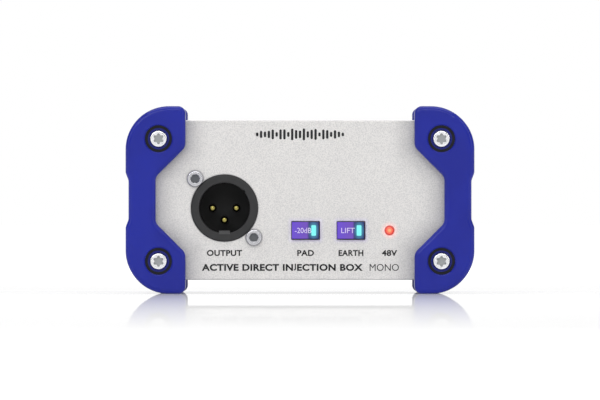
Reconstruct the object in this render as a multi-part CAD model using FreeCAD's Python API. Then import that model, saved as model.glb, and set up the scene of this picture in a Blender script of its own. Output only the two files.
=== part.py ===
import FreeCAD
import Part
import math
import os

# A stage direct injection box, in millimetres.
# +Z is up, the output panel faces -Y, and the origin is on the ground under the middle of the box.
# The body is one aluminium extrusion, closed by a panel at each end.
# Four corner bumpers carry the box, and a screw through each lobe holds bumper and panel to the extrusion.

V = FreeCAD.Vector

overshoot = 1.0               # how far a cutter runs past the face it opens

# ---- envelope -------------------------------------------------------------------------------
overall_width = 112.2
overall_depth = 134.0
overall_height = 60.4

# ---- bumpers --------------------------------------------------------------------------------
bumper_side_wall = 4.1        # stands proud of the body at each side
bumper_top_wall = 4.5         # stands proud of the body above and below
bumper_nose = 5.0             # stands proud of the end panel
bumper_reach = 26.0           # length along the box
bumper_fit = 0.1              # gap to the body that it is pushed over
bumper_edge_radius = 1.5      # rounding of the outer rim
bumper_corner_radius = 14.0   # large outer corner
lobe_width = 19.3             # from the outer side to the lobe's inner edge
lobe_corner_radius = 2.4
waist_width = 9.7             # the narrow stretch between the two lobes
waist_half_height = 7.4
bend_radius = 3.2
grip_depth = 0.95             # shallow recess in the outer side
grip_half_height = 6.3
grip_slope = 2.5
grip_radius = 2.2

# ---- body and end panels --------------------------------------------------------------------
body_wall = 2.0
body_corner_radius = 8.0
panel_thickness = 2.0
panel_edge_chamfer = 0.3      # round the outer face
seam_chamfer = 0.2            # on both sides of the joint between body and panel

# ---- corner screws --------------------------------------------------------------------------
corner_screw_inset_x = 10.6   # from the bumper's outer side
corner_screw_inset_z = 10.5   # from the bumper's top or bottom
corner_screw_radius = 1.5
corner_screw_length = 14.0
corner_head_radius = 2.8
corner_head_height = 2.2
corner_head_rounding = 0.6
corner_end_chamfer = 0.5
star_radius = 1.3             # six-lobed socket, to the lobes' centres
star_lobe_radius = 0.45
star_depth = 1.3
recess_radius = 4.37
recess_depth = 3.0
recess_rim_radius = 0.35
collar_gap = 0.1              # around the screw head
collar_width = 0.45
collar_height = 1.1
boss_radius = 3.8
boss_slot = 1.4
hole_gap = 0.2                # round a shank in a through hole
thread_gap = 0.05             # round a shank in its thread

# ---- main board -----------------------------------------------------------------------------
board_thickness = 1.6
board_over_boss = 0.3         # gap from the lower screw bosses up to the board
board_side_gap = 0.3
board_front_setback = 5.6     # from the output panel's inner face
board_rear_setback = 1.0
board_corner_radius = 1.0
guide_rib = 1.2
guide_rib_reach = 3.0
guide_gap = 0.1
lead_stub = 1.6               # how far a lead stands out under the board
lead_hole_gap = 0.15

# ---- three-pin output socket ----------------------------------------------------------------
xlr_inset = 12.5              # from the left lobe's inner edge to the socket's axis
xlr_over_board = 1.2          # from the board up to the barrel
xlr_nose_proud = 0.8
xlr_bore_radius = 8.15
xlr_nose_wall = 2.5
xlr_barrel_wall = 2.05
xlr_nose_rounding = 0.3
xlr_mouth_chamfer = 0.2
xlr_bore_depth = 12.0
xlr_flange_edge = 3.85        # beyond the fixing screws' axes
xlr_flange_radius = 3.0
xlr_flange_thickness = 3.0
xlr_barrel_length = 17.0      # behind the flange
xlr_foot_width = 15.0
xlr_foot_gap = 0.4            # from the board's front edge
xlr_key_width = 3.5
xlr_key_height = 0.9
xlr_key_root = 0.8            # sunk into the wall
xlr_key_setback = 0.1         # behind the nose
xlr_notch_angle = 41.0
xlr_notch_width = 1.0
xlr_notch_depth = 0.5
xlr_insert_gap = 0.05
xlr_insert_rim = 1.1
xlr_insert_rim_thickness = 1.5
pin_circle_radius = 3.81
pin_radius = 1.2
pin_tip_rounding = 1.05
pin_setback = 1.4             # tip behind the nose
pin_neck_radius = 0.45
pin_neck_length = 1.2
xlr_screw_nose_gap = 0.2      # from the nose to the screw heads
xlr_screw_radius = 1.5
xlr_screw_head_radius = 2.5
xlr_screw_head_rounding = 0.4
xlr_screw_end_chamfer = 0.4
xlr_screw_head_height = 2.4
xlr_screw_length = 7.6
hex_key = 2.5
hex_key_depth = 1.3
hex_key_lead_in = 0.3
m3_nut_width = 5.5
m3_nut_thickness = 2.4

# ---- pad and earth push buttons -------------------------------------------------------------
lamp_inset = 8.0              # from the right lobe's inner edge to the phantom lamp
lamp_to_earth = 12.4
earth_to_pad = 14.6
cap_over_led = 0.425          # from the chip lamp up to the cap
cap_width = 8.95
cap_height = 5.75
cap_length = 11.3
cap_proud = 1.8
cap_gap = 0.17
cap_edge_radius = 0.35
cap_face_rounding = 0.28
button_travel = 2.0
window_width = 1.5
window_height = 3.4
window_offset = 2.6
window_gap = 0.03
window_radius = 0.3
window_proud = 0.05
plunger_side = 2.8
plunger_in_cap = 4.5
plunger_in_switch = 4.0
plunger_cap_gap = 0.05
plunger_switch_gap = 0.12
plunger_overtravel = 0.5
switch_gap = 5.0              # from the cap's back to the switch at rest
switch_width = 8.0
switch_height = 8.2
switch_length = 12.0
switch_edge_radius = 0.4
switch_pin_radius = 0.4
switch_pin_pitch_x = 5.0
switch_pin_pitch_y = 3.6
spring_wire_radius = 0.18
spring_gap = 0.14             # from the plunger's corners to the wire
spring_turns = 5
spring_end_gap = 0.03
chip_led_width = 1.6
chip_led_length = 1.8
chip_led_height = 0.9
chip_led_inset = 0.3
chip_led_chamfer = 0.15

# ---- phantom power lamp ---------------------------------------------------------------------
lamp_radius = 1.5
lamp_hole_gap = 0.12
lamp_dome_start = 0.3         # dome's centre behind the panel's face
lamp_flange_radius = 1.9
lamp_flange_thickness = 0.8
lamp_flange_gap = 0.2
lamp_lead_radius = 0.25
lamp_lead_pitch = 2.54
lamp_lead_length = 7.2
lamp_lead_gap = 0.15          # in the holder
lamp_holder_width = 5.0
lamp_holder_above = 2.2
lamp_holder_length = 6.6

# ---- input and link jack sockets ------------------------------------------------------------
jack_spacing = 40.0
jack_axis_height = 11.4       # above the board
jack_bore_radius = 3.25
jack_bore_length = 21.4
jack_bush_radius = 4.7
jack_bush_proud = 4.4         # beyond the panel's outer face
jack_bush_gap = 0.15          # in the panel
jack_bush_chamfer = 0.4
jack_body_width = 16.0
jack_body_above = 8.0         # above the axis
jack_body_length = 25.0
jack_body_edge_radius = 0.8
jack_chamber_radius = 3.9
jack_back_wall = 1.0
jack_channel_width = 4.6
jack_channel_front = 3.0      # wall left at the panel end
jack_washer_radius = 7.0
jack_washer_thickness = 0.6
jack_nut_width = 13.5
jack_nut_thickness = 2.6
jack_nut_bevel = 0.8
jack_thread_gap = 0.05
jack_pin_radius = 0.5
jack_pin_inset_x = 2.0
jack_pin_inset_y = 4.0
tip_spring_width = 3.6
tip_spring_thickness = 0.35
tip_spring_rise = 5.0         # above the axis
tip_spring_root = 0.5         # from the channel's front end
tip_spring_floor_gap = 0.08
tip_contact_rise = 2.4        # lowest point of the bent tip
tip_contact_setback = 5.0     # from the chamber's back wall to the bent tip
tip_contact_half = 2.4        # half of the bend's length

# ---- electronics ----------------------------------------------------------------------------
transformer_y = 0.0
transformer_boss_gap = 0.5    # from the screw bosses to the core
core_width = 26.0
core_stack = 12.0
core_height = 22.0
core_leg = 4.0
core_middle_leg = 8.0
bobbin_wall = 0.8
bobbin_gap = 0.05
bobbin_flange = 1.0
bobbin_overhang = 5.0         # flange beyond the stack
window_clearance = 0.2
winding_inset = 0.5
winding_corner_radius = 2.5
transformer_pin_radius = 0.4
transformer_pins_per_side = 4
transformer_pin_pitch = 4.0
transformer_pin_inset = 1.0   # from the bobbin's edge

large_can_radius = 6.3
large_can_height = 20.0
large_cans_at = ((-6.0, 12.0), (9.0, 12.0))
small_can_radius = 4.0
small_can_height = 11.5
small_cans_at = ((-9.0, -13.0), (1.0, -13.0), (11.0, -13.0))
can_lead_pitch = 3.5
can_lead_radius = 0.35
can_standoff = 0.4
can_groove_radius = 0.45
can_groove_offset = 0.18      # from the can's side out to the groove's centre
can_groove_height = 2.2
can_edge_radius = 0.5

film_length = 13.0
film_width = 5.0
film_height = 11.0
film_lead_pitch = 10.0
film_lead_radius = 0.35
film_standoff = 0.3
film_rounding = 0.5
film_lead_root = 0.5          # how far a lead runs into its case
film_cans_at = ((23.8, 17.0), (23.8, 9.0), (23.8, 1.0), (23.8, -7.0))

op_amp_at = (2.0, -2.0)
op_amp_length = 9.8
op_amp_width = 6.4
op_amp_height = 3.3
op_amp_standoff = 0.6
op_amp_pin_pitch = 2.54
op_amp_row_spacing = 7.62
op_amp_pin_width = 0.5
op_amp_notch_radius = 0.8
op_amp_notch_depth = 0.5
op_amp_chamfer = 0.3

transistor_radius = 2.3
transistor_height = 4.6
transistor_standoff = 2.5
transistor_flat = 1.3         # from the axis to the flat
transistor_lead_pitch = 1.27
transistor_lead_radius = 0.22
transistors_at = ((14.3, -2.5), (14.3, 3.0), (-11.5, -2.0))

resistor_radius = 1.15
resistor_length = 6.3
resistor_pitch = 10.0
resistor_lead_radius = 0.28
resistor_boss_gap = 0.4       # from the screw boss to the outer leads
resistor_count = 10
resistor_step = 4.0
axial_standoff = 0.2
axial_rounding_share = 0.35   # of the part's radius
diode_radius = 0.95
diode_length = 4.0
diode_pitch = 8.0
diodes_at = ((23.8, -14.0), (23.8, -18.0))

# ---- places that follow from the sizes ------------------------------------------------------
half_width = overall_width / 2
half_depth = overall_depth / 2
centre_z = overall_height / 2
body_width = overall_width - 2 * bumper_side_wall
body_height = overall_height - 2 * bumper_top_wall
inner_width = body_width - 2 * body_wall
inner_height = body_height - 2 * body_wall
inner_radius = body_corner_radius - body_wall
face_y = -half_depth                          # bumper's outer face
panel_y = face_y + bumper_nose                # panel's outer face
inside_y = panel_y + panel_thickness          # panel's inner face
window_half = half_width - lobe_width         # half of the panel width left clear
corner_x = half_width - corner_screw_inset_x
corner_dz = centre_z - corner_screw_inset_z   # up or down from the middle
board_bottom = corner_screw_inset_z + boss_radius + board_over_boss
board_top = board_bottom + board_thickness
board_front = inside_y + board_front_setback
board_rear = -inside_y - board_rear_setback
xlr_nose_radius = xlr_bore_radius + xlr_nose_wall
xlr_barrel_radius = xlr_bore_radius + xlr_barrel_wall
xlr_screw_offset = (xlr_nose_radius + xlr_screw_nose_gap + xlr_screw_head_radius) / math.sqrt(2)
xlr_flange = 2 * (xlr_screw_offset + xlr_flange_edge)
xlr_x = -window_half + xlr_inset
xlr_z = board_top + xlr_over_board + xlr_barrel_radius
nose_y = panel_y - xlr_nose_proud
flange_back_y = inside_y + xlr_flange_thickness
barrel_back_y = flange_back_y + xlr_barrel_length
insert_front_y = nose_y + xlr_bore_depth
control_z = board_top + chip_led_height + cap_over_led + cap_height / 2
lamp_x = window_half - lamp_inset
earth_x = lamp_x - lamp_to_earth
pad_x = earth_x - earth_to_pad
cap_front_y = panel_y - cap_proud
cap_back_y = cap_front_y + cap_length
switch_front_y = cap_back_y + switch_gap
jack_z = board_top + jack_axis_height
jack_front_y = panel_y - jack_bush_proud
jack_back_y = inside_y + jack_body_length
chamber_front_y = jack_front_y + jack_bore_length
chamber_back_y = jack_back_y - jack_back_wall
channel_front_y = inside_y + jack_channel_front
tip_root_y = channel_front_y + tip_spring_root
tip_contact_y = chamber_back_y - tip_contact_setback
transformer_x = -(corner_x - boss_radius - transformer_boss_gap - core_width / 2)
resistor_x = corner_x - boss_radius - resistor_boss_gap - resistor_lead_radius - resistor_pitch / 2

board_holes = []  # (x, y, radius) of every lead that goes through the board


# ---- small helpers --------------------------------------------------------------------------
def block(x0, x1, y0, y1, z0, z1):
    return Part.makeBox(x1 - x0, y1 - y0, z1 - z0, V(x0, y0, z0))


def rod_y(x, z, y0, y1, radius):
    return Part.makeCylinder(radius, y1 - y0, V(x, y0, z), V(0, 1, 0))


def rod_z(x, y, z0, z1, radius):
    return Part.makeCylinder(radius, z1 - z0, V(x, y, z0), V(0, 0, 1))


def rod_x(y, z, x0, x1, radius):
    return Part.makeCylinder(radius, x1 - x0, V(x0, y, z), V(1, 0, 0))


def outline(corners, place):
    """A closed wire through the corners (a, b, radius), each rounded; place turns (a, b) into a point."""
    count = len(corners)
    starts, ends, middles = [], [], []
    for i, (a, b, radius) in enumerate(corners):
        here = V(a, b, 0)
        back = V(corners[i - 1][0], corners[i - 1][1], 0) - here
        ahead = V(corners[(i + 1) % count][0], corners[(i + 1) % count][1], 0) - here
        back.normalize()
        ahead.normalize()
        half_angle = math.acos(max(-1.0, min(1.0, back.dot(ahead)))) / 2
        run = radius / math.tan(half_angle)
        bisector = back + ahead
        bisector.normalize()
        starts.append(here + back * run)
        ends.append(here + ahead * run)
        middles.append(here + bisector * (radius / math.sin(half_angle) - radius))
    edges = []
    for i in range(count):
        first, last = place(starts[i]), place(ends[i])
        if corners[i][2] > 0:
            edges.append(Part.Arc(first, place(middles[i]), last).toShape())
        after = place(starts[(i + 1) % count])
        if (after - last).Length > 1e-6:
            edges.append(Part.makeLine(last, after))
    return Part.Wire(edges)


def prism_y(corners, y0, y1):
    """A solid whose outline is in X and Z, from y0 to y1."""
    wire = outline(corners, lambda p: V(p.x, y0, p.y))
    return Part.Face(wire).extrude(V(0, y1 - y0, 0))


def prism_z(corners, z0, z1):
    wire = outline(corners, lambda p: V(p.x, p.y, z0))
    return Part.Face(wire).extrude(V(0, 0, z1 - z0))


def rounded_rectangle(x, z, width, height, radius):
    w, h = width / 2, height / 2
    return [(x + w, z + h, radius), (x - w, z + h, radius), (x - w, z - h, radius), (x + w, z - h, radius)]


def hexagon_y(x, z, y0, y1, across_flats):
    radius = across_flats / math.sqrt(3)
    corners = [
        (x + radius * math.cos(math.radians(60 * i)), z + radius * math.sin(math.radians(60 * i)), 0)
        for i in range(6)
    ]
    return prism_y(corners, y0, y1)


def edges_at_y(shape, y):
    """The edges that lie in the plane at y."""
    flat = [e for e in shape.Edges if e.BoundBox.YLength < 1e-4]
    return [e for e in flat if all(abs(v.Y - y) < 1e-6 for v in e.Vertexes)]


def edges_along(shape, axis):
    """The straight edges that run along an axis, 0 for X, 1 for Y and 2 for Z."""
    found = []
    for e in shape.Edges:
        if len(e.Vertexes) == 2 and isinstance(e.Curve, (Part.Line, Part.LineSegment)):
            direction = e.Vertexes[1].Point - e.Vertexes[0].Point
            if abs(abs(direction[axis]) - direction.Length) < 1e-6:
                found.append(e)
    return found


def joined(shapes):
    whole = shapes[0].multiFuse(shapes[1:]) if len(shapes) > 1 else shapes[0]
    return whole.removeSplitter()


def turned(shape):
    """The same piece at the other end of the box."""
    copy = shape.copy()
    copy.rotate(V(0, 0, 0), V(0, 0, 1), 180)
    return copy


def board_lead(x, y, top_z, radius):
    """A straight lead down through the board, which gets a hole for it."""
    board_holes.append((x, y, radius + lead_hole_gap))
    return rod_z(x, y, board_bottom - lead_stub, top_z, radius)


def corner_places():
    return [(sx * corner_x, centre_z + sz * corner_dz) for sx in (-1, 1) for sz in (-1, 1)]


# ---- case -----------------------------------------------------------------------------------
def body_outline(grow=0.0):
    width, height = body_width + 2 * grow, body_height + 2 * grow
    return rounded_rectangle(0, centre_z, width, height, body_corner_radius + grow)


def body_extrusion():
    y0, y1 = inside_y, -inside_y
    outer = prism_y(body_outline(), y0, y1)
    outer = outer.makeChamfer(seam_chamfer, edges_at_y(outer, y0) + edges_at_y(outer, y1))
    hollow = prism_y(rounded_rectangle(0, centre_z, inner_width, inner_height, inner_radius), y0, y1)
    tube = outer.cut(hollow)
    additions = []
    for x, z in corner_places():
        side, up = math.copysign(1, x), math.copysign(1, z - centre_z)
        wall_x, wall_z = side * body_width / 2, centre_z + up * body_height / 2
        xs, zs = sorted((x, wall_x)), sorted((z, wall_z))
        additions.append(rod_y(x, z, y0, y1, boss_radius))
        additions.append(block(xs[0], xs[1], y0, y1, z - boss_radius, z + boss_radius))
        additions.append(block(x - boss_radius, x + boss_radius, y0, y1, zs[0], zs[1]))
    for side in (-1, 1):
        xs = sorted((side * (inner_width / 2 - guide_rib_reach), side * (body_width - body_wall) / 2))
        low, high = board_bottom - guide_gap, board_top + guide_gap
        additions.append(block(xs[0], xs[1], y0, y1, low - guide_rib, low))
        additions.append(block(xs[0], xs[1], y0, y1, high, high + guide_rib))
    body = joined([tube] + [a.common(outer) for a in additions])
    cuts = []
    for x, z in corner_places():
        inward = x - math.copysign(boss_radius + overshoot, x)
        xs = sorted((x, inward))
        cuts.append(rod_y(x, z, y0, y1, corner_screw_radius + thread_gap))
        cuts.append(block(xs[0], xs[1], y0, y1, z - boss_slot / 2, z + boss_slot / 2))
    return body.cut(Part.makeCompound(cuts)).removeSplitter()


def panel_blank():
    blank = prism_y(body_outline(), panel_y, inside_y)
    blank = blank.makeChamfer(panel_edge_chamfer, edges_at_y(blank, panel_y))
    blank = blank.makeChamfer(seam_chamfer, edges_at_y(blank, inside_y))
    holes = [rod_y(x, z, panel_y, inside_y, corner_screw_radius + hole_gap) for x, z in corner_places()]
    return blank.cut(Part.makeCompound(holes))


def output_panel():
    holes = [
        rod_y(xlr_x, xlr_z, panel_y, inside_y, xlr_nose_radius + hole_gap),
        rod_y(lamp_x, control_z, panel_y, inside_y, lamp_radius + lamp_hole_gap),
    ]
    for x, z in xlr_screw_places():
        holes.append(rod_y(x, z, panel_y, inside_y, xlr_screw_radius + hole_gap))
    for x in (pad_x, earth_x):
        width, height = cap_width + 2 * cap_gap, cap_height + 2 * cap_gap
        opening = rounded_rectangle(x, control_z, width, height, cap_edge_radius)
        holes.append(prism_y(opening, panel_y, inside_y))
    return panel_blank().cut(Part.makeCompound(holes))


def input_panel():
    """Made at the output end and turned round."""
    holes = [
        rod_y(side * jack_spacing / 2, jack_z, panel_y, inside_y, jack_bush_radius + jack_bush_gap)
        for side in (-1, 1)
    ]
    return turned(panel_blank().cut(Part.makeCompound(holes)))


# ---- bumpers and their screws ---------------------------------------------------------------
def bumper_corners():
    """The bumper's outline seen from the end, for the side at +X."""
    outer, top = half_width, overall_height / 2
    lobe_x, waist_x = half_width - lobe_width, half_width - waist_width
    lobe_z = waist_half_height + lobe_width - waist_width
    upper = [
        (waist_x, waist_half_height, bend_radius),
        (lobe_x, lobe_z, bend_radius),
        (lobe_x, top, lobe_corner_radius),
        (outer, top, bumper_corner_radius),
        (outer, grip_half_height + grip_slope, grip_radius),
        (outer - grip_depth, grip_half_height, grip_radius),
    ]
    lower = [(x, -z, radius) for x, z, radius in reversed(upper)]
    return [(x, centre_z + z, radius) for x, z, radius in upper + lower]


def bumper():
    """The bumper at the output end, on the +X side."""
    back_y = face_y + bumper_reach
    solid = prism_y(bumper_corners(), face_y, back_y)
    rim = edges_at_y(solid, face_y) + edges_at_y(solid, back_y)
    solid = solid.makeFillet(bumper_edge_radius, rim)
    solid = solid.cut(prism_y(body_outline(bumper_fit), panel_y, back_y + overshoot))
    floor_y = face_y + recess_depth
    for side_z in (-1, 1):
        x, z = corner_x, centre_z + side_z * corner_dz
        pocket = rod_y(x, z, face_y - overshoot, floor_y, recess_radius)
        pocket = pocket.fuse(Part.makeCone(
            recess_radius + recess_rim_radius, recess_radius, recess_rim_radius, V(x, face_y, z), V(0, 1, 0)))
        collar_inner = corner_head_radius + collar_gap
        collar = rod_y(x, z, floor_y - collar_height, floor_y, collar_inner + collar_width)
        collar = collar.cut(rod_y(x, z, floor_y - collar_height, floor_y, collar_inner))
        solid = solid.cut(pocket).fuse(collar)
        solid = solid.cut(rod_y(x, z, face_y, panel_y + overshoot, corner_screw_radius + hole_gap))
    return solid.removeSplitter()


def corner_screw(x, z):
    """A pan head screw with a six-lobed socket, seated in the bumper's recess."""
    seat_y = face_y + recess_depth
    top_y = seat_y - corner_head_height
    head = rod_y(x, z, top_y, seat_y, corner_head_radius)
    head = head.makeFillet(corner_head_rounding, edges_at_y(head, top_y))
    socket = [rod_y(x, z, top_y - overshoot, top_y + star_depth, star_radius)]
    for i in range(6):
        angle = math.radians(60 * i + 30)
        lobe_x, lobe_z = x + star_radius * math.cos(angle), z + star_radius * math.sin(angle)
        socket.append(rod_y(lobe_x, lobe_z, top_y - overshoot, top_y + star_depth, star_lobe_radius))
    shank = rod_y(x, z, seat_y, seat_y + corner_screw_length, corner_screw_radius)
    end_y = seat_y + corner_screw_length
    shank = shank.makeChamfer(corner_end_chamfer, edges_at_y(shank, end_y))
    return head.cut(joined(socket)).fuse(shank).removeSplitter()


def corner_screws():
    return Part.makeCompound([corner_screw(x, z) for x, z in corner_places()])


# ---- output socket --------------------------------------------------------------------------
def xlr_screw_places():
    """Upper left and lower right of the socket."""
    return [(xlr_x + side * xlr_screw_offset, xlr_z - side * xlr_screw_offset) for side in (-1, 1)]


def xlr_housing():
    nose = rod_y(xlr_x, xlr_z, nose_y, inside_y, xlr_nose_radius)
    nose = nose.makeFillet(xlr_nose_rounding, edges_at_y(nose, nose_y))
    flange = prism_y(
        rounded_rectangle(xlr_x, xlr_z, xlr_flange, xlr_flange, xlr_flange_radius), inside_y, flange_back_y)
    barrel = rod_y(xlr_x, xlr_z, flange_back_y, barrel_back_y, xlr_barrel_radius)
    half_foot, foot_front_y = xlr_foot_width / 2, board_front + xlr_foot_gap
    foot = block(xlr_x - half_foot, xlr_x + half_foot, foot_front_y, barrel_back_y, board_top, xlr_z)
    shell = joined([nose, flange, barrel, foot])
    bore = rod_y(xlr_x, xlr_z, nose_y - overshoot, barrel_back_y + overshoot, xlr_bore_radius)
    mouth_at, mouth_radius = V(xlr_x, nose_y, xlr_z), xlr_bore_radius + xlr_mouth_chamfer
    mouth = Part.makeCone(mouth_radius, xlr_bore_radius, xlr_mouth_chamfer, mouth_at, V(0, 1, 0))
    notch = block(
        xlr_x, xlr_x + xlr_bore_radius + xlr_notch_depth, nose_y - overshoot, insert_front_y,
        xlr_z - xlr_notch_width / 2, xlr_z + xlr_notch_width / 2)
    notch.rotate(V(xlr_x, 0, xlr_z), V(0, 1, 0), -xlr_notch_angle)
    screw_hole = xlr_screw_radius + thread_gap
    holes = [rod_y(x, z, inside_y, flange_back_y, screw_hole) for x, z in xlr_screw_places()]
    shell = shell.cut(Part.makeCompound([bore.fuse(mouth), notch] + holes))
    half_key = xlr_key_width / 2
    key = block(
        xlr_x - half_key, xlr_x + half_key, nose_y + xlr_key_setback, insert_front_y,
        xlr_z - xlr_bore_radius - xlr_key_root, xlr_z - xlr_bore_radius + xlr_key_height)
    return shell.fuse(key).removeSplitter()


def pin_places():
    return [
        (xlr_x + pin_circle_radius, xlr_z),
        (xlr_x - pin_circle_radius, xlr_z),
        (xlr_x, xlr_z - pin_circle_radius),
    ]


def xlr_insert():
    insert = rod_y(xlr_x, xlr_z, insert_front_y, barrel_back_y, xlr_bore_radius - xlr_insert_gap)
    rim_y = barrel_back_y + xlr_insert_rim_thickness
    rim = rod_y(xlr_x, xlr_z, barrel_back_y, rim_y, xlr_bore_radius + xlr_insert_rim)
    holes = [rod_y(x, z, insert_front_y, rim_y, pin_radius + thread_gap) for x, z in pin_places()]
    return insert.fuse(rim).cut(Part.makeCompound(holes)).removeSplitter()


def xlr_pins():
    tip_y = nose_y + pin_setback
    back_y = barrel_back_y + xlr_insert_rim_thickness
    tail_y = back_y + pin_neck_length
    pins = []
    for x, z in pin_places():
        pin = rod_y(x, z, tip_y, back_y, pin_radius)
        pin = pin.makeFillet(pin_tip_rounding, edges_at_y(pin, tip_y))
        neck = rod_y(x, z, back_y, tail_y, pin_neck_radius)
        tail = board_lead(x, tail_y, z, pin_neck_radius)
        pins.append(joined([pin, neck, tail]))
    return Part.makeCompound(pins)


def xlr_screws():
    screws = []
    for x, z in xlr_screw_places():
        top_y = panel_y - xlr_screw_head_height
        head = rod_y(x, z, top_y, panel_y, xlr_screw_head_radius)
        head = head.makeFillet(xlr_screw_head_rounding, edges_at_y(head, top_y))
        head = head.cut(hexagon_y(x, z, top_y - overshoot, top_y + hex_key_depth, hex_key))
        lead_in = Part.makeCone(
            hex_key / 2 + hex_key_lead_in, hex_key / 2, hex_key_lead_in, V(x, top_y, z), V(0, 1, 0))
        shank = rod_y(x, z, panel_y, panel_y + xlr_screw_length, xlr_screw_radius)
        shank = shank.makeChamfer(xlr_screw_end_chamfer, edges_at_y(shank, panel_y + xlr_screw_length))
        screws.append(head.cut(lead_in).fuse(shank).removeSplitter())
    return Part.makeCompound(screws)


def xlr_nuts():
    nuts = []
    for x, z in xlr_screw_places():
        nut = hexagon_y(x, z, flange_back_y, flange_back_y + m3_nut_thickness, m3_nut_width)
        back_y = flange_back_y + m3_nut_thickness
        hole = rod_y(x, z, flange_back_y - overshoot, back_y + overshoot, xlr_screw_radius + thread_gap)
        nuts.append(nut.cut(hole))
    return Part.makeCompound(nuts)


# ---- push buttons ---------------------------------------------------------------------------
def button_cap(x):
    face = rounded_rectangle(x, control_z, cap_width, cap_height, cap_edge_radius)
    cap = prism_y(face, cap_front_y, cap_back_y)
    cap = cap.makeFillet(cap_face_rounding, edges_at_y(cap, cap_front_y))
    width, height = window_width + 2 * window_gap, window_height + 2 * window_gap
    slot = prism_y(
        rounded_rectangle(x + window_offset, control_z, width, height, window_radius + window_gap),
        cap_front_y - overshoot, cap_back_y + overshoot)
    half = plunger_side / 2 + plunger_cap_gap
    socket = block(
        x - half, x + half, cap_back_y - plunger_in_cap - plunger_cap_gap, cap_back_y + overshoot,
        control_z - half, control_z + half)
    return cap.cut(slot).cut(socket)


def light_pipe(x):
    shape = rounded_rectangle(x + window_offset, control_z, window_width, window_height, window_radius)
    return prism_y(shape, cap_front_y - window_proud, cap_back_y)


def plunger(x):
    half = plunger_side / 2
    y0, y1 = cap_back_y - plunger_in_cap, switch_front_y + plunger_in_switch
    return block(x - half, x + half, y0, y1, control_z - half, control_z + half)


def return_spring(x):
    coil_radius = plunger_side / math.sqrt(2) + spring_gap + spring_wire_radius
    margin = spring_wire_radius + spring_end_gap
    length = switch_gap - 2 * margin
    helix = Part.makeHelix(length / spring_turns, length, coil_radius)
    wire = Part.Wire(helix.Edges)
    ring = Part.Wire([Part.makeCircle(spring_wire_radius, V(coil_radius, 0, 0), V(0, 1, 0))])
    coil = wire.makePipeShell([ring], True, True)
    coil.rotate(V(0, 0, 0), V(1, 0, 0), -90)
    coil.translate(V(x, cap_back_y + margin, control_z))
    return coil


def switch_body(x):
    half = switch_width / 2
    y0, y1 = switch_front_y, switch_front_y + switch_length
    body = block(x - half, x + half, y0, y1, board_top, board_top + switch_height)
    body = body.makeChamfer(switch_edge_radius, edges_along(body, 1))
    half = plunger_side / 2 + plunger_switch_gap
    depth = plunger_in_switch + button_travel + plunger_overtravel
    return body.cut(block(x - half, x + half, y0 - overshoot, y0 + depth, control_z - half, control_z + half))


def switch_terminals(x):
    middle_y = switch_front_y + switch_length / 2
    terminals = []
    for side in (-1, 1):
        for row in (-1, 0, 1):
            pin_x, pin_y = x + side * switch_pin_pitch_x / 2, middle_y + row * switch_pin_pitch_y
            terminals.append(board_lead(pin_x, pin_y, board_top, switch_pin_radius))
    return Part.makeCompound(terminals)


def indicator_led(x):
    """A chip lamp on the board under the cap's light pipe."""
    half, y0 = chip_led_width / 2, board_front + chip_led_inset
    middle = x + window_offset
    top_z = board_top + chip_led_height
    chip = block(middle - half, middle + half, y0, y0 + chip_led_length, board_top, top_z)
    top = [e for e in chip.Edges if e.BoundBox.ZMin > top_z - 1e-6]
    return chip.makeChamfer(chip_led_chamfer, top)


# ---- phantom power lamp ---------------------------------------------------------------------
def phantom_led():
    flange_y = inside_y + lamp_flange_gap
    dome_y = panel_y + lamp_dome_start
    flange = rod_y(lamp_x, control_z, flange_y, flange_y + lamp_flange_thickness, lamp_flange_radius)
    stem = rod_y(lamp_x, control_z, dome_y, flange_y, lamp_radius)
    dome = Part.makeSphere(lamp_radius, V(lamp_x, dome_y, control_z))
    return joined([flange, stem, dome])


def lamp_back_y():
    return inside_y + lamp_flange_gap + lamp_flange_thickness


def phantom_led_leads():
    leads = []
    for side in (-1, 1):
        x = lamp_x + side * lamp_lead_pitch / 2
        end_y = lamp_back_y() + lamp_lead_length
        run = rod_y(x, control_z, lamp_back_y(), end_y, lamp_lead_radius)
        knee = Part.makeSphere(lamp_lead_radius, V(x, end_y, control_z))
        leads.append(joined([run, knee, board_lead(x, end_y, control_z, lamp_lead_radius)]))
    return Part.makeCompound(leads)


def phantom_led_holder():
    half = lamp_holder_width / 2
    y0, y1 = lamp_back_y(), lamp_back_y() + lamp_holder_length
    holder = block(lamp_x - half, lamp_x + half, y0, y1, board_top, control_z + lamp_holder_above)
    for side in (-1, 1):
        x = lamp_x + side * lamp_lead_pitch / 2
        lead_hole = rod_y(x, control_z, y0 - overshoot, y1 + overshoot, lamp_lead_radius + lamp_lead_gap)
        holder = holder.cut(lead_hole)
    return holder


# ---- jack sockets, made at the output end and turned round ------------------------------------
def jack_body(x):
    half = jack_body_width / 2
    body = block(x - half, x + half, inside_y, jack_back_y, board_top, jack_z + jack_body_above)
    body = body.makeFillet(jack_body_edge_radius, edges_along(body, 1))
    bush = rod_y(x, jack_z, jack_front_y, inside_y, jack_bush_radius)
    bush = bush.makeChamfer(jack_bush_chamfer, edges_at_y(bush, jack_front_y))
    floor_z = jack_z + tip_spring_rise - tip_spring_thickness / 2 - tip_spring_floor_gap
    half_channel = jack_channel_width / 2
    cuts = [
        rod_y(x, jack_z, jack_front_y - overshoot, chamber_front_y, jack_bore_radius),
        rod_y(x, jack_z, chamber_front_y, chamber_back_y, jack_chamber_radius),
        block(x - half_channel, x + half_channel, channel_front_y, chamber_back_y,
              floor_z, jack_z + jack_body_above + overshoot),
        block(x - half_channel, x + half_channel, chamber_front_y, chamber_back_y,
              jack_z, floor_z + overshoot),
    ]
    return body.fuse(bush).cut(joined(cuts)).removeSplitter()


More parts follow.
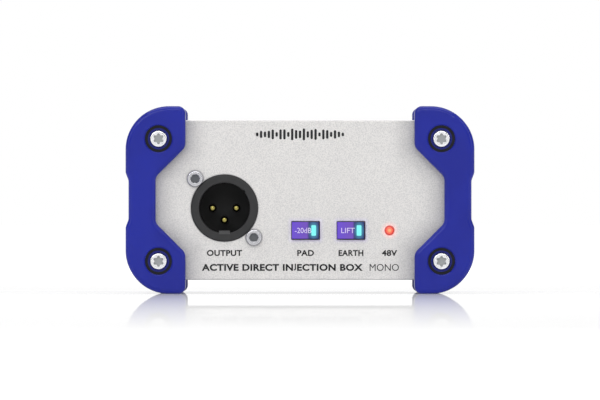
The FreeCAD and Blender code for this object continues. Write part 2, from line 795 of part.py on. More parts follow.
def jack_washer(x):
    ring = rod_y(x, jack_z, panel_y - jack_washer_thickness, panel_y, jack_washer_radius)
    hole = rod_y(x, jack_z, panel_y - overshoot, panel_y + overshoot, jack_bush_radius + jack_bush_gap)
    return ring.cut(hole)


def jack_nut(x):
    back_y = panel_y - jack_washer_thickness
    front_y = back_y - jack_nut_thickness
    nut = hexagon_y(x, jack_z, front_y, back_y, jack_nut_width)
    corner_radius = jack_nut_width / math.sqrt(3)
    bevel_y = front_y + jack_nut_bevel
    cone = Part.makeCone(
        corner_radius - jack_nut_bevel, corner_radius, jack_nut_bevel, V(x, front_y, jack_z), V(0, 1, 0))
    nut = nut.common(cone.fuse(rod_y(x, jack_z, bevel_y, back_y, corner_radius + overshoot)))
    thread = rod_y(x, jack_z, front_y - overshoot, back_y + overshoot, jack_bush_radius + jack_thread_gap)
    return nut.cut(thread)


def tip_spring(x):
    """A leaf that runs back from its root and bends down to touch the plug's tip."""
    half = tip_spring_thickness / 2
    level, low = jack_z + tip_spring_rise, jack_z + tip_contact_rise + half
    bend_start, bend_end = tip_contact_y - tip_contact_half, tip_contact_y + tip_contact_half
    route = [(tip_root_y, level), (bend_start, level), (tip_contact_y, low), (bend_end, level)]
    upper = [(y, z + half) for y, z in route]
    lower = [(y, z - half) for y, z in reversed(route)]
    x0 = x - tip_spring_width / 2
    points = [V(x0, y, z) for y, z in upper + lower]
    return Part.Face(Part.makePolygon(points + points[:1])).extrude(V(tip_spring_width, 0, 0))


def jack_terminals(x, end_turn):
    """Pins under the jack. end_turn is -1 where the piece is turned round after it is made."""
    half_x = jack_body_width / 2 - jack_pin_inset_x
    pins = []
    for side in (-1, 1):
        for y in (inside_y + jack_pin_inset_y, jack_back_y - jack_pin_inset_y):
            pin_x = x + side * half_x
            board_holes.append((end_turn * pin_x, end_turn * y, jack_pin_radius + lead_hole_gap))
            pins.append(rod_z(pin_x, y, board_bottom - lead_stub, board_top, jack_pin_radius))
    return Part.makeCompound(pins)


# ---- electronics ----------------------------------------------------------------------------
def transformer_core():
    x, y = transformer_x, transformer_y
    z0, z1 = board_top, board_top + core_height
    core = block(x - core_width / 2, x + core_width / 2, y - core_stack / 2, y + core_stack / 2, z0, z1)
    for side in (-1, 1):
        xs = sorted((x + side * core_middle_leg / 2, x + side * (core_width / 2 - core_leg)))
        core = core.cut(block(xs[0], xs[1], y - core_stack, y + core_stack, z0 + core_leg, z1 - core_leg))
    return core


def transformer_bobbin():
    x, y = transformer_x, transformer_y
    low, high = board_top + core_leg + bobbin_gap, board_top + core_height - core_leg - bobbin_gap
    leg_x, leg_y = core_middle_leg / 2 + bobbin_gap, core_stack / 2 + bobbin_gap
    wide_x = core_width / 2 - core_leg - window_clearance
    wide_y = core_stack / 2 + bobbin_overhang
    outer_x, outer_y = leg_x + bobbin_wall, leg_y + bobbin_wall
    tube = block(x - outer_x, x + outer_x, y - outer_y, y + outer_y, low, high)
    lower = block(x - wide_x, x + wide_x, y - wide_y, y + wide_y, low, low + bobbin_flange)
    upper = block(x - wide_x, x + wide_x, y - wide_y, y + wide_y, high - bobbin_flange, high)
    leg = block(x - leg_x, x + leg_x, y - leg_y, y + leg_y, low - overshoot, high + overshoot)
    return joined([tube, lower, upper]).cut(leg)


def transformer_winding():
    x, y = transformer_x, transformer_y
    low = board_top + core_leg + bobbin_gap + bobbin_flange
    high = board_top + core_height - core_leg - bobbin_gap - bobbin_flange
    wide_x = core_width / 2 - core_leg - window_clearance - winding_inset
    wide_y = core_stack / 2 + bobbin_overhang - winding_inset
    wound = prism_z(rounded_rectangle(x, y, 2 * wide_x, 2 * wide_y, winding_corner_radius), low, high)
    tube_x = core_middle_leg / 2 + bobbin_gap + bobbin_wall
    tube_y = core_stack / 2 + bobbin_gap + bobbin_wall
    return wound.cut(block(x - tube_x, x + tube_x, y - tube_y, y + tube_y, low - overshoot, high + overshoot))


def transformer_pins():
    x, y = transformer_x, transformer_y
    top_z = board_top + core_leg + bobbin_gap
    row_y = core_stack / 2 + bobbin_overhang - transformer_pin_inset
    first = -(transformer_pins_per_side - 1) / 2
    return Part.makeCompound([
        board_lead(x + (first + i) * transformer_pin_pitch, y + side * row_y, top_z, transformer_pin_radius)
        for side in (-1, 1) for i in range(transformer_pins_per_side)
    ])


def capacitor_can(x, y, radius, height):
    """An electrolytic can with its rolled groove, on two leads."""
    z0 = board_top + can_standoff
    can = rod_z(x, y, z0, z0 + height, radius)
    groove_at = V(x, y, z0 + can_groove_height)
    can = can.cut(Part.makeTorus(radius + can_groove_offset, can_groove_radius, groove_at, V(0, 0, 1)))
    top = [e for e in can.Edges if e.BoundBox.ZMin > z0 + height - 1e-3 and len(e.Vertexes) == 1]
    can = can.makeFillet(can_edge_radius, top)
    leads = [board_lead(x + side * can_lead_pitch / 2, y, z0, can_lead_radius) for side in (-1, 1)]
    return joined([can] + leads)


def film_capacitor(x, y):
    z0 = board_top + film_standoff
    half_length, half_width_y = film_length / 2, film_width / 2
    box = block(x - half_length, x + half_length, y - half_width_y, y + half_width_y, z0, z0 + film_height)
    box = box.makeFillet(film_rounding, box.Edges)
    root_z = z0 + film_lead_root
    leads = [board_lead(x + side * film_lead_pitch / 2, y, root_z, film_lead_radius) for side in (-1, 1)]
    return joined([box] + leads)


def op_amp():
    x, y = op_amp_at
    z0 = board_top + op_amp_standoff
    chip = block(
        x - op_amp_length / 2, x + op_amp_length / 2, y - op_amp_width / 2, y + op_amp_width / 2,
        z0, z0 + op_amp_height)
    top_z = z0 + op_amp_height
    chip = chip.makeChamfer(op_amp_chamfer, [e for e in chip.Edges if e.BoundBox.ZMin > top_z - 1e-6])
    notch_x = x - op_amp_length / 2
    return chip.cut(rod_z(notch_x, y, top_z - op_amp_notch_depth, top_z + overshoot, op_amp_notch_radius))


def op_amp_pins():
    x, y = op_amp_at
    half = op_amp_pin_width / 2
    mid_z = board_top + op_amp_standoff + op_amp_height / 2
    pins = []
    for side in (-1, 1):
        for i in range(4):
            pin_x = x + (i - 1.5) * op_amp_pin_pitch
            row_y = y + side * op_amp_row_spacing / 2
            ys = sorted((y + side * op_amp_width / 2, row_y + side * half))
            shoulder = block(pin_x - half, pin_x + half, ys[0], ys[1], mid_z - half, mid_z + half)
            pins.append(joined([shoulder, board_lead(pin_x, row_y, mid_z, half)]))
    return Part.makeCompound(pins)


def transistor(x, y):
    z0 = board_top + transistor_standoff
    body = rod_z(x, y, z0, z0 + transistor_height, transistor_radius)
    reach, top_z = transistor_radius + overshoot, z0 + transistor_height + overshoot
    body = body.cut(block(x - reach, x + reach, y - reach, y - transistor_flat, z0 - overshoot, top_z))
    leads = [board_lead(x + i * transistor_lead_pitch, y, z0, transistor_lead_radius) for i in (-1, 0, 1)]
    return joined([body] + leads)


def axial_part(x, y, radius, length, pitch):
    """A round part lying along X above the board, on two bent leads."""
    z = board_top + radius + axial_standoff
    body = rod_x(y, z, x - length / 2, x + length / 2, radius)
    body = body.makeFillet(radius * axial_rounding_share, [e for e in body.Edges if len(e.Vertexes) == 1])
    run = rod_x(y, z, x - pitch / 2, x + pitch / 2, resistor_lead_radius)
    pieces = [body, run]
    for side in (-1, 1):
        end_x = x + side * pitch / 2
        pieces.append(Part.makeSphere(resistor_lead_radius, V(end_x, y, z)))
        pieces.append(board_lead(end_x, y, z, resistor_lead_radius))
    return joined(pieces)


def main_board():
    """Made last, when every lead has asked for its hole."""
    half = inner_width / 2 - board_side_gap
    corners = [
        (half, board_front, board_corner_radius), (half, board_rear, board_corner_radius),
        (-half, board_rear, board_corner_radius), (-half, board_front, board_corner_radius),
    ]
    board = prism_z(corners, board_bottom, board_top)
    low, high = board_bottom - overshoot, board_top + overshoot
    drills = [rod_z(x, y, low, high, radius) for x, y, radius in board_holes]
    return board.cut(Part.makeCompound(drills))


# ---- assembly -------------------------------------------------------------------------------
def build():
    parts = {"body_extrusion": body_extrusion(), "output_panel": output_panel(), "input_panel": input_panel()}

    front_right = bumper()
    front_left = front_right.mirror(V(0, 0, 0), V(1, 0, 0))
    parts["bumper_front_right"] = front_right
    parts["bumper_front_left"] = front_left
    parts["bumper_rear_left"] = turned(front_right)
    parts["bumper_rear_right"] = turned(front_left)
    parts["front_corner_screws"] = corner_screws()
    parts["rear_corner_screws"] = turned(corner_screws())

    parts["xlr_housing"] = xlr_housing()
    parts["xlr_insert"] = xlr_insert()
    parts["xlr_pins"] = xlr_pins()
    parts["xlr_screws"] = xlr_screws()
    parts["xlr_nuts"] = xlr_nuts()

    for name, x in (("pad", pad_x), ("earth", earth_x)):
        parts[name + "_button_cap"] = button_cap(x)
        parts[name + "_light_pipe"] = light_pipe(x)
        parts[name + "_plunger"] = plunger(x)
        parts[name + "_return_spring"] = return_spring(x)
        parts[name + "_switch_body"] = switch_body(x)
        parts[name + "_switch_terminals"] = switch_terminals(x)
        parts[name + "_indicator_led"] = indicator_led(x)

    parts["phantom_led"] = phantom_led()
    parts["phantom_led_leads"] = phantom_led_leads()
    parts["phantom_led_holder"] = phantom_led_holder()

    for name, x in (("input", -jack_spacing / 2), ("link", jack_spacing / 2)):
        parts[name + "_jack_body"] = turned(jack_body(x))
        parts[name + "_jack_washer"] = turned(jack_washer(x))
        parts[name + "_jack_nut"] = turned(jack_nut(x))
        parts[name + "_jack_tip_spring"] = turned(tip_spring(x))
        parts[name + "_jack_terminals"] = turned(jack_terminals(x, -1))

    parts["transformer_core"] = transformer_core()
    parts["transformer_bobbin"] = transformer_bobbin()
    parts["transformer_winding"] = transformer_winding()
    parts["transformer_pins"] = transformer_pins()
    parts["large_electrolytic_capacitors"] = Part.makeCompound(
        [capacitor_can(x, y, large_can_radius, large_can_height) for x, y in large_cans_at])
    parts["small_electrolytic_capacitors"] = Part.makeCompound(
        [capacitor_can(x, y, small_can_radius, small_can_height) for x, y in small_cans_at])
    parts["film_capacitors"] = Part.makeCompound([film_capacitor(x, y) for x, y in film_cans_at])
    parts["op_amp"] = op_amp()
    parts["op_amp_pins"] = op_amp_pins()
    parts["transistors"] = Part.makeCompound([transistor(x, y) for x, y in transistors_at])
    first_y = -(resistor_count - 1) / 2 * resistor_step
    parts["resistors"] = Part.makeCompound([
        axial_part(resistor_x, first_y + i * resistor_step, resistor_radius, resistor_length, resistor_pitch)
        for i in range(resistor_count)
    ])
    parts["zener_diodes"] = Part.makeCompound(
        [axial_part(x, y, diode_radius, diode_length, diode_pitch) for x, y in diodes_at])
    parts["main_board"] = main_board()
    return parts


os.makedirs("parts", exist_ok=True)
for part_name, part_shape in build().items():
    if not part_shape.isValid() or not part_shape.Solids:
        print("check", part_name, "valid", part_shape.isValid(), "solids", len(part_shape.Solids))
    part_shape.exportStep("parts/" + part_name + ".step")
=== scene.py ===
import math

import bpy
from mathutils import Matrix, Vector


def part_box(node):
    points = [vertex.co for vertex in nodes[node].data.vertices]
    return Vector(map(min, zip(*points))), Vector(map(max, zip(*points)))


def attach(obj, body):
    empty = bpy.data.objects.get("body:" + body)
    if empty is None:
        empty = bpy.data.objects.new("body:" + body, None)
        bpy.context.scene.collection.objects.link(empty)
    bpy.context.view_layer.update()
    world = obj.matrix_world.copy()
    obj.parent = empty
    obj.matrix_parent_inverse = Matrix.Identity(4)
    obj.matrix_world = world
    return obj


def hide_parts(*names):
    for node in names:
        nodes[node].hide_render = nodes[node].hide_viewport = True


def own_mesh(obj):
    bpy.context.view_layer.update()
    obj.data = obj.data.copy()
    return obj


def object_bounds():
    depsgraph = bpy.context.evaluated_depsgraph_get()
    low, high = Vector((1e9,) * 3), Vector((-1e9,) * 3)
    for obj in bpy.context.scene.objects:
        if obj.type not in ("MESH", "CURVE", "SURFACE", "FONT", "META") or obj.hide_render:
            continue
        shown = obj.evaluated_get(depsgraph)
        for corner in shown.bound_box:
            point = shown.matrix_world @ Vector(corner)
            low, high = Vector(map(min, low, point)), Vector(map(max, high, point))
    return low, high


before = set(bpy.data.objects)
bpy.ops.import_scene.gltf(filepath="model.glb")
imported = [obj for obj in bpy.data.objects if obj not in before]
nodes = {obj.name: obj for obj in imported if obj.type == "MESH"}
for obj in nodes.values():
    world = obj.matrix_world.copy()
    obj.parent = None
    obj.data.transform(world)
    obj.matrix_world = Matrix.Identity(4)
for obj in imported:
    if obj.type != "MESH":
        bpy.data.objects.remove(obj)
cadLow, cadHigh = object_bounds()
midHeight = (cadLow.z + cadHigh.z) / 2
print("frame loaded:", len(nodes), "nodes")


def paint(red, green, blue):
    # a screen colour, 0 to 255, as the linear colour that a shader wants
    parts = [part / 255 for part in (red, green, blue)]
    return (*[part / 12.92 if part <= 0.04045 else ((part + 0.055) / 1.055) ** 2.4 for part in parts], 1.0)


def grey(level):
    return (level, level, level, 1.0)


def darker(colour, share):
    return (*[part * (1 - share) for part in colour[:3]], 1.0)


def middle(node):
    low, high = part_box(node)
    return (low + high) / 2


# a socket that can be used in a Python expression
class Wire:
    def __init__(self, tree, socket):
        self.tree = tree
        self.socket = socket

    def maths(self, operation, first, second=0.0):
        node = self.tree.nodes.new("ShaderNodeMath")
        node.operation = operation
        for place, value in enumerate((first, second)):
            if isinstance(value, Wire):
                self.tree.links.new(value.socket, node.inputs[place])
            else:
                node.inputs[place].default_value = value
        return Wire(self.tree, node.outputs[0])

    def __add__(self, other):
        return self.maths("ADD", self, other)

    def __sub__(self, other):
        return self.maths("SUBTRACT", self, other)

    def __mul__(self, other):
        return self.maths("MULTIPLY", self, other)

    def __truediv__(self, other):
        return self.maths("DIVIDE", self, other)

    def __pow__(self, other):
        return self.maths("POWER", self, other)

    def __mod__(self, other):
        return self.maths("FLOORED_MODULO", self, other)

    def __abs__(self):
        return self.maths("ABSOLUTE", self)

    def __radd__(self, other):
        return self.maths("ADD", other, self)

    def __rsub__(self, other):
        return self.maths("SUBTRACT", other, self)

    def __rmul__(self, other):
        return self.maths("MULTIPLY", other, self)

    def least(self, other):
        return self.maths("MINIMUM", self, other)

    def most(self, other):
        return self.maths("MAXIMUM", self, other)

    def sine(self):
        return self.maths("SINE", self)

    def floor(self):
        return self.maths("FLOOR", self)


# one material: a Principled shader with its fixed sockets, and the nodes that feed the others
class Finish:
    def __init__(self, name, fixed):
        self.material = bpy.data.materials.new(name)
        self.material.use_nodes = True
        self.tree = self.material.node_tree
        self.shader = self.tree.nodes["Principled BSDF"]
        for socket, value in fixed.items():
            self.shader.inputs[socket].default_value = value
        self.place = self.add("TexCoord", output="Object")
        parts = self.add("SeparateXYZ", None, {0: self.place}).socket.node.outputs
        self.x, self.y, self.z = [Wire(self.tree, part) for part in parts]

    def add(self, kind, settings=None, inputs=None, output=0):
        node = self.tree.nodes.new("ShaderNode" + kind)
        for name, value in (settings or {}).items():
            setattr(node, name, value)
        for name, value in (inputs or {}).items():
            if isinstance(value, Wire):
                self.tree.links.new(value.socket, node.inputs[name])
            else:
                node.inputs[name].default_value = value
        return Wire(self.tree, node.outputs[output])

    def feed(self, socket, wire):
        self.tree.links.new(wire.socket, self.shader.inputs[socket])

    def noise(self, grain, detail=2.0, rough=0.5, stretch=(1, 1, 1)):
        # grain is the size of a speck in metres
        place = self.add("Mapping", None, {"Vector": self.place, "Scale": stretch})
        sockets = {"Vector": place, "Scale": 1 / grain, "Detail": detail, "Roughness": rough}
        return self.add("TexNoise", None, sockets)

    def mix(self, share, first, second):
        return self.add("Mix", {"data_type": "RGBA"}, {0: share, 6: first, 7: second}, 2)

    def step(self, value, low, high):
        # 0 below low and 1 above high, with a smooth rise
        return self.add("MapRange", {"interpolation_type": "SMOOTHSTEP"}, {0: value, 1: low, 2: high})

    def span(self, value, low, high, soft):
        # 1 between low and high
        return self.step(value, low - soft, low + soft) - self.step(value, high - soft, high + soft)

    def mottled(self, size, first, second, low=0.35, high=0.65):
        # soft patches of two colours
        return self.mix(self.step(self.noise(size), low, high), first, second)

    def reach(self, centre, weights=(1, 0, 1)):
        # distance from a point, over the axes that have a weight
        moved = [-part * weight for part, weight in zip(centre, weights)]
        place = self.add("Mapping", None, {"Vector": self.place, "Location": moved, "Scale": weights})
        return self.add("VectorMath", {"operation": "LENGTH"}, {0: place}, "Value")

    def gloss(self, speck, roughness, swing=0.1):
        # a roughness that wanders by the swing
        self.feed("Roughness", speck * swing + (roughness - swing / 2))

    def bump(self, height, depth, strength=0.5):
        sockets = {"Height": height, "Distance": depth, "Strength": strength}
        self.feed("Normal", self.add("Bump", None, sockets))


def diagonal(first, second):
    return (first * first + second * second) ** 0.5


def wear(finish, *names):
    for name in names:
        nodes[name].data.materials.clear()
        nodes[name].data.materials.append(finish.material)


# camera, floor, room and lamps
cameraValues = {"distance": 5.7, "lens": 1064.0, "farClip": 80.0}
floorValues = {
    "size": 30.0, "base": 0.73,
    "glow": 0.2, "farGlow": 0.85, "farFrom": 0.85, "farTo": 2.0, "farCentre": -0.65,
    "mirror": 0.76, "fadeFrom": 0.07, "fadeTo": 1.65, "fadeBend": 1.15, "blur": 0.01, "grazing": 12.0}
roomValues = {"seen": 1.0, "lit": 0.35, "horizon": 0.05}
lampValues = {
    "key": {"at": (-0.3, -2.2, 1.05), "size": (2.2, 0.6), "radiance": 4.0},
    "top": {"at": (0.0, -0.2, 1.3), "size": (1.6, 1.0), "radiance": 2.2},
    "left": {"at": (-1.3, -0.9, 0.7), "size": (0.5, 1.2), "radiance": 2.4},
    "right": {"at": (1.3, -0.9, 0.7), "size": (0.5, 1.2), "radiance": 2.8},
    "back": {"at": (0.4, 1.9, 0.9), "size": (1.8, 0.9), "radiance": 1.8},
}


def makeCamera(values):
    place = (0, cadLow.y - values["distance"], midHeight)
    bpy.ops.object.camera_add(location=place, rotation=(math.radians(90), 0, 0))
    camera = bpy.context.object
    camera.data.lens = values["lens"]
    camera.data.clip_end = values["farClip"]
    bpy.context.scene.camera = camera


def makeFloor(values):
    bpy.ops.object.select_all(action="DESELECT")
    bpy.ops.mesh.primitive_plane_add(size=values["size"])
    floor = bpy.context.object
    floor.name = "floor"
    finish = Finish("floorWhite", {"Base Color": grey(values["base"]), "Roughness": 1.0,
                                   "Specular IOR Level": 0.0, "Emission Strength": 1.0})
    outside = finish.reach((0, values["farCentre"], 0), (1, 1, 0))
    far = finish.step(outside, values["farFrom"], values["farTo"])
    finish.feed("Emission Color", finish.mix(far, grey(values["glow"]), grey(values["farGlow"])))
    # a mirror that fades with distance, and shows only at a grazing view
    away = finish.reach((0, 0, 0), (1, 1, 0))
    fade = {0: away, 1: values["fadeFrom"], 2: values["fadeTo"], 3: 1.0, 4: 0.0}
    near = finish.add("MapRange", None, fade)
    slant = finish.add("LayerWeight", output="Facing")
    share = near ** values["fadeBend"] * (slant ** values["grazing"]) * values["mirror"]
    gloss = finish.add("BsdfGlossy", None, {"Color": grey(1.0), "Roughness": values["blur"]})
    both = finish.add("MixShader", None, {0: share, 2: gloss})
    finish.tree.links.new(finish.shader.outputs[0], both.socket.node.inputs[1])
    finish.tree.links.new(both.socket, finish.tree.nodes["Material Output"].inputs["Surface"])
    floor.data.materials.append(finish.material)


def makeRoom(values):
    scene = bpy.context.scene
    scene.view_settings.view_transform = "Standard"
    scene.world = bpy.data.worlds.new("room")
    scene.world.use_nodes = True
    tree = scene.world.node_tree
    seen = Wire(tree, tree.nodes.new("ShaderNodeLightPath").outputs["Is Camera Ray"])
    split = tree.nodes.new("ShaderNodeSeparateXYZ")
    tree.links.new(tree.nodes.new("ShaderNodeTexCoord").outputs["Generated"], split.inputs[0])
    level = abs(Wire(tree, split.outputs["Z"]))
    horizon = level.maths("LESS_THAN", level, values["horizon"])
    strength = seen.most(horizon) * (values["seen"] - values["lit"]) + values["lit"]
    tree.links.new(strength.socket, tree.nodes["Background"].inputs["Strength"])
    tree.nodes["Background"].inputs["Color"].default_value = grey(1.0)


def makeLamps(everyLamp):
    target = Vector((0, 0, midHeight))
    for name, values in everyLamp.items():
        bpy.ops.object.light_add(type="AREA", location=values["at"])
        lamp = bpy.context.object
        lamp.name = name + "Light"
        lamp.data.shape = "RECTANGLE"
        lamp.data.size, lamp.data.size_y = values["size"]
        lamp.data.energy = values["radiance"] * math.pi * values["size"][0] * values["size"][1]
        lamp.rotation_euler = (target - lamp.location).to_track_quat("-Z", "Y").to_euler()
        lamp.visible_camera = False


makeCamera(cameraValues)
makeFloor(floorValues)
makeRoom(roomValues)
makeLamps(lampValues)
print("camera, floor, room and lamps ready")

# recipes that several pieces share
mouldedValues = {"grain": 0.0004, "swing": 0.12, "depth": 0.00001, "patch": 0.0032, "mottle": 0.12}
platedValues = {"grain": 0.00008, "grainRough": 0.6, "depth": 0.000003,
                "patch": 0.0007, "patchFrom": 0.3, "patchTo": 0.7, "mottle": 0.12}
brushedValues = {"streak": 0.00018, "detail": 3.0, "rough": 0.6, "stretch": (1, 0.08, 1),
                 "from": 0.3, "to": 0.7, "mottle": 0.18, "roughness": 0.24, "swing": 0.14, "depth": 0.000006}
glowingValues = {"shine": 0.3, "patch": 0.0012, "fade": 0.12, "dark": 0.75, "light": 0.65,
                 "roughness": 0.25}


def plastic(name, colour, roughness=0.45, shine=0.4, values=mouldedValues):
    finish = Finish(name, {"Specular IOR Level": shine})
    speck = finish.noise(values["grain"])
    finish.feed("Base Color", finish.mottled(values["patch"], darker(colour, values["mottle"]), colour))
    finish.gloss(speck, roughness, values["swing"])
    finish.bump(speck, values["depth"])
    return finish


def plated(name, colour, roughness, values=platedValues):
    finish = Finish(name, {"Metallic": 1.0})
    speck = finish.noise(values["grain"], rough=values["grainRough"])
    finish.feed("Base Color", finish.mottled(values["patch"], darker(colour, values["mottle"]), colour,
                                             values["patchFrom"], values["patchTo"]))
    finish.gloss(speck, roughness)
    finish.bump(speck, values["depth"])
    return finish


def brushed(name, colour, values=brushedValues):
    finish = Finish(name, {"Metallic": 1.0})
    streak = finish.noise(values["streak"], values["detail"], values["rough"], values["stretch"])
    tone = finish.step(streak, values["from"], values["to"])
    finish.feed("Base Color", finish.mix(tone, darker(colour, values["mottle"]), colour))
    finish.gloss(streak, values["roughness"], values["swing"])
    finish.bump(streak, values["depth"])
    return finish


def glowing(name, colour, glow, values=glowingValues):
    finish = Finish(name, {"Emission Strength": glow, "Specular IOR Level": values["shine"]})
    cloud = finish.noise(values["patch"])
    finish.feed("Emission Color", finish.mix(cloud, colour, darker(colour, values["fade"])))
    dark, light = darker(colour, values["dark"]), darker(colour, values["light"])
    finish.feed("Base Color", finish.mix(cloud, dark, light))
    finish.gloss(cloud, values["roughness"])
    return finish


# aluminium case: bead blasted panels, and a body with faint lines along its length
caseValues = {
    "light": paint(223, 221, 219), "dark": paint(199, 198, 198),
    "speck": 0.00036, "speckDetail": 3.0, "speckRough": 0.65, "patch": 0.004, "patchShare": 0.07,
    "toneFrom": 0.34, "toneTo": 0.62, "roughness": 0.48, "swing": 0.16, "depth": 0.00003, "strength": 0.55}
lineValues = {"size": 0.0006, "detail": 3.0, "rough": 0.6, "stretch": (1, 0.01, 1), "from": 0.3, "to": 0.7,
              "tone": 0.35, "swing": 0.08, "height": 0.6, "speckHeight": 0.7}
shadeValues = {"colour": paint(70, 70, 86), "reach": 0.011, "depth": 0.29, "power": 2.0,
               "lobeX": 0.0368, "waistX": 0.0464, "slant": 0.0538,
               "rimFrom": 0.0253, "rimTo": 0.02565, "rim": 0.3}
contactValues = {"nose": 0.01065, "head": 0.0025, "spread": 0.0006, "depth": 0.62}
glowValues = {"lamp": paint(255, 96, 70), "lampCore": 0.001, "lampReach": 0.004, "lampPower": 0.4,
              "cap": paint(120, 80, 235), "capReach": 0.0022, "capPower": 0.16, "fall": 2.0}


def blasted(name, values, lines=None):
    finish = Finish(name, {"Metallic": 1.0})
    speck = finish.noise(values["speck"], values["speckDetail"], values["speckRough"])
    mixed = speck * (1 - values["patchShare"]) + finish.noise(values["patch"]) * values["patchShare"]
    tone = finish.step(mixed, values["toneFrom"], values["toneTo"])
    finish.colour = finish.mix(tone, values["dark"], values["light"])
    rough = speck * values["swing"] + (values["roughness"] - values["swing"] / 2)
    height = speck
    if lines:
        line = finish.noise(lines["size"], lines["detail"], lines["rough"], lines["stretch"])
        share = finish.step(line, lines["from"], lines["to"]) * lines["tone"]
        finish.colour = finish.mix(share, finish.colour, values["dark"])
        rough = rough + line * lines["swing"]
        height = speck * lines["speckHeight"] + line * lines["height"]
    finish.feed("Roughness", rough)
    finish.feed("Base Color", finish.colour)
    finish.bump(height, values["depth"], values["strength"])
    return finish


# paints shade over a panel's colour, by the share given
def darken(finish, share):
    finish.colour = finish.mix(share, finish.colour, shadeValues["colour"])
    finish.feed("Base Color", finish.colour)


def bumperShade(finish, values):
    # painted shade: the panel takes less light where the bumpers stand round it, and a painted dark line
    # runs along its top and bottom edges
    across, up = abs(finish.x), abs(finish.z - midHeight)
    lobe = (values["lobeX"] - across).most((values["slant"] - across - up) * math.sqrt(0.5))
    gap = (values["waistX"] - across).least(lobe)
    near = (1 - finish.step(gap, 0.0, values["reach"])) ** values["power"]
    rim = finish.step(up, values["rimFrom"], values["rimTo"])
    darken(finish, (near * values["depth"]).most(rim * values["rim"]))


def fromHexScrew(finish):
    # the two screws stand at opposite corners of their node's box
    low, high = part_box("xlr_screws")
    head = contactValues["head"]
    upper = finish.reach((low.x + head, 0, high.z - head))
    return upper.least(finish.reach((high.x - head, 0, low.z + head)))


def contactShade(finish, values):
    # painted shade: a thin dark line where the connector and its screw heads meet the panel
    nose = finish.reach(middle("xlr_insert")) - values["nose"]
    gap = nose.least(fromHexScrew(finish) - values["head"])
    darken(finish, (1 - finish.step(gap, 0.0, values["spread"])) * values["depth"])


def spillGlow(finish, values):
    # light that the lamp and the lit caps throw on the metal round them
    away = finish.reach(middle("phantom_led"))
    lamp = 1 - finish.step(away, values["lampCore"], values["lampReach"])
    total = finish.mix(lamp ** values["fall"] * values["lampPower"], grey(0.0), values["lamp"])
    for prefix in ("pad", "earth"):
        low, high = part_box(prefix + "_button_cap")
        centre, half = (low + high) / 2, (high - low) / 2
        outX = (abs(finish.x - centre.x) - half.x).most(0.0)
        outZ = (abs(finish.z - centre.z) - half.z).most(0.0)
        cap = 1 - finish.step(diagonal(outX, outZ), 0.0, values["capReach"])
        total = finish.mix(cap ** values["fall"] * values["capPower"], total, values["cap"])
    finish.feed("Emission Color", total)
    finish.shader.inputs["Emission Strength"].default_value = 1.0


outputFinish = blasted("outputPanelMetal", caseValues)
bumperShade(outputFinish, shadeValues)
contactShade(outputFinish, contactValues)
spillGlow(outputFinish, glowValues)
inputFinish = blasted("inputPanelMetal", caseValues)
bumperShade(inputFinish, shadeValues)
wear(outputFinish, "output_panel")
wear(inputFinish, "input_panel")
wear(blasted("bodyMetal", caseValues, lineValues), "body_extrusion")

# blue moulded bumpers, with painted shade down in the grooves round the screws
bumperValues = {"colour": paint(8, 26, 142), "dark": paint(6, 22, 133), "patch": 0.014, "grain": 0.0004,
                "roughness": 0.36, "shine": 0.2, "coat": 0.3, "coatRoughness": 0.12,
                "depth": 0.000008, "strength": 0.6}
grooveShadeValues = {"colour": paint(1, 2, 34), "outer": 0.0045, "inner": 0.00348, "soft": 0.00005,
                "from": 0.0008, "to": 0.0026}
cornerHead = 0.0028  # radius of a corner screw's head
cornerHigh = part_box("front_corner_screws")[1]
cornerX = cornerHigh.x - cornerHead
cornerUp = cornerHigh.z - cornerHead - midHeight


def fromCornerScrew(finish):
    return diagonal(abs(finish.x) - cornerX, abs(finish.z - midHeight) - cornerUp)


def bumperRubber(values, groove):
    finish = Finish("bumperBlue", {"Specular IOR Level": values["shine"], "Coat Weight": values["coat"],
                                   "Coat Roughness": values["coatRoughness"]})
    colour = finish.mottled(values["patch"], values["dark"], values["colour"])
    # painted shade, deeper down the grooves round the corner screws
    deep = finish.step(cadHigh.y - abs(finish.y), groove["from"], groove["to"])
    ring = finish.span(fromCornerScrew(finish), groove["inner"], groove["outer"], groove["soft"])
    finish.feed("Base Color", finish.mix(deep * ring, colour, groove["colour"]))
    grain = finish.noise(values["grain"])
    finish.gloss(grain, values["roughness"])
    finish.bump(grain, values["depth"], values["strength"])
    return finish


blueFinish = bumperRubber(bumperValues, grooveShadeValues)
wear(blueFinish, "bumper_front_left", "bumper_front_right", "bumper_rear_left", "bumper_rear_right")
print("case and bumpers finished")

# plated screws, with painted grey shade down in the sockets
cornerScrewValues = {"colour": paint(246, 246, 248), "socket": paint(168, 170, 172), "radius": 0.0021,
                     "sink": 0.00025, "roughness": 0.16}
hexScrewValues = {"colour": paint(206, 206, 210), "socket": paint(104, 106, 110), "radius": 0.00155,
                  "sink": 0.0004, "roughness": 0.2}
toneAndSocketShadeValues = {"patch": 0.0005, "mottle": 0.1, "edge": 0.03, "rough": 0.2, "swing": 0.1}


def socketSteel(name, node, values, away):
    finish = Finish(name, {"Metallic": 1.0})
    dull = darker(values["colour"], toneAndSocketShadeValues["mottle"])
    bright = finish.mottled(toneAndSocketShadeValues["patch"], dull, values["colour"],
                            platedValues["patchFrom"], platedValues["patchTo"])
    headTop = -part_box(node)[0].y
    # painted shade down in the socket of the head
    sunk = finish.step(headTop - abs(finish.y), values["sink"] / 2, values["sink"])
    soft = values["radius"] * toneAndSocketShadeValues["edge"]
    socketShade = sunk * (1 - finish.step(away(finish), values["radius"] - soft, values["radius"] + soft))
    finish.feed("Base Color", finish.mix(socketShade, bright, values["socket"]))
    speck = finish.noise(platedValues["grain"])
    smooth = values["roughness"] - toneAndSocketShadeValues["swing"] / 2
    finish.feed("Roughness", speck * toneAndSocketShadeValues["swing"] + socketShade * toneAndSocketShadeValues["rough"] + smooth)
    finish.bump(speck, platedValues["depth"])
    return finish


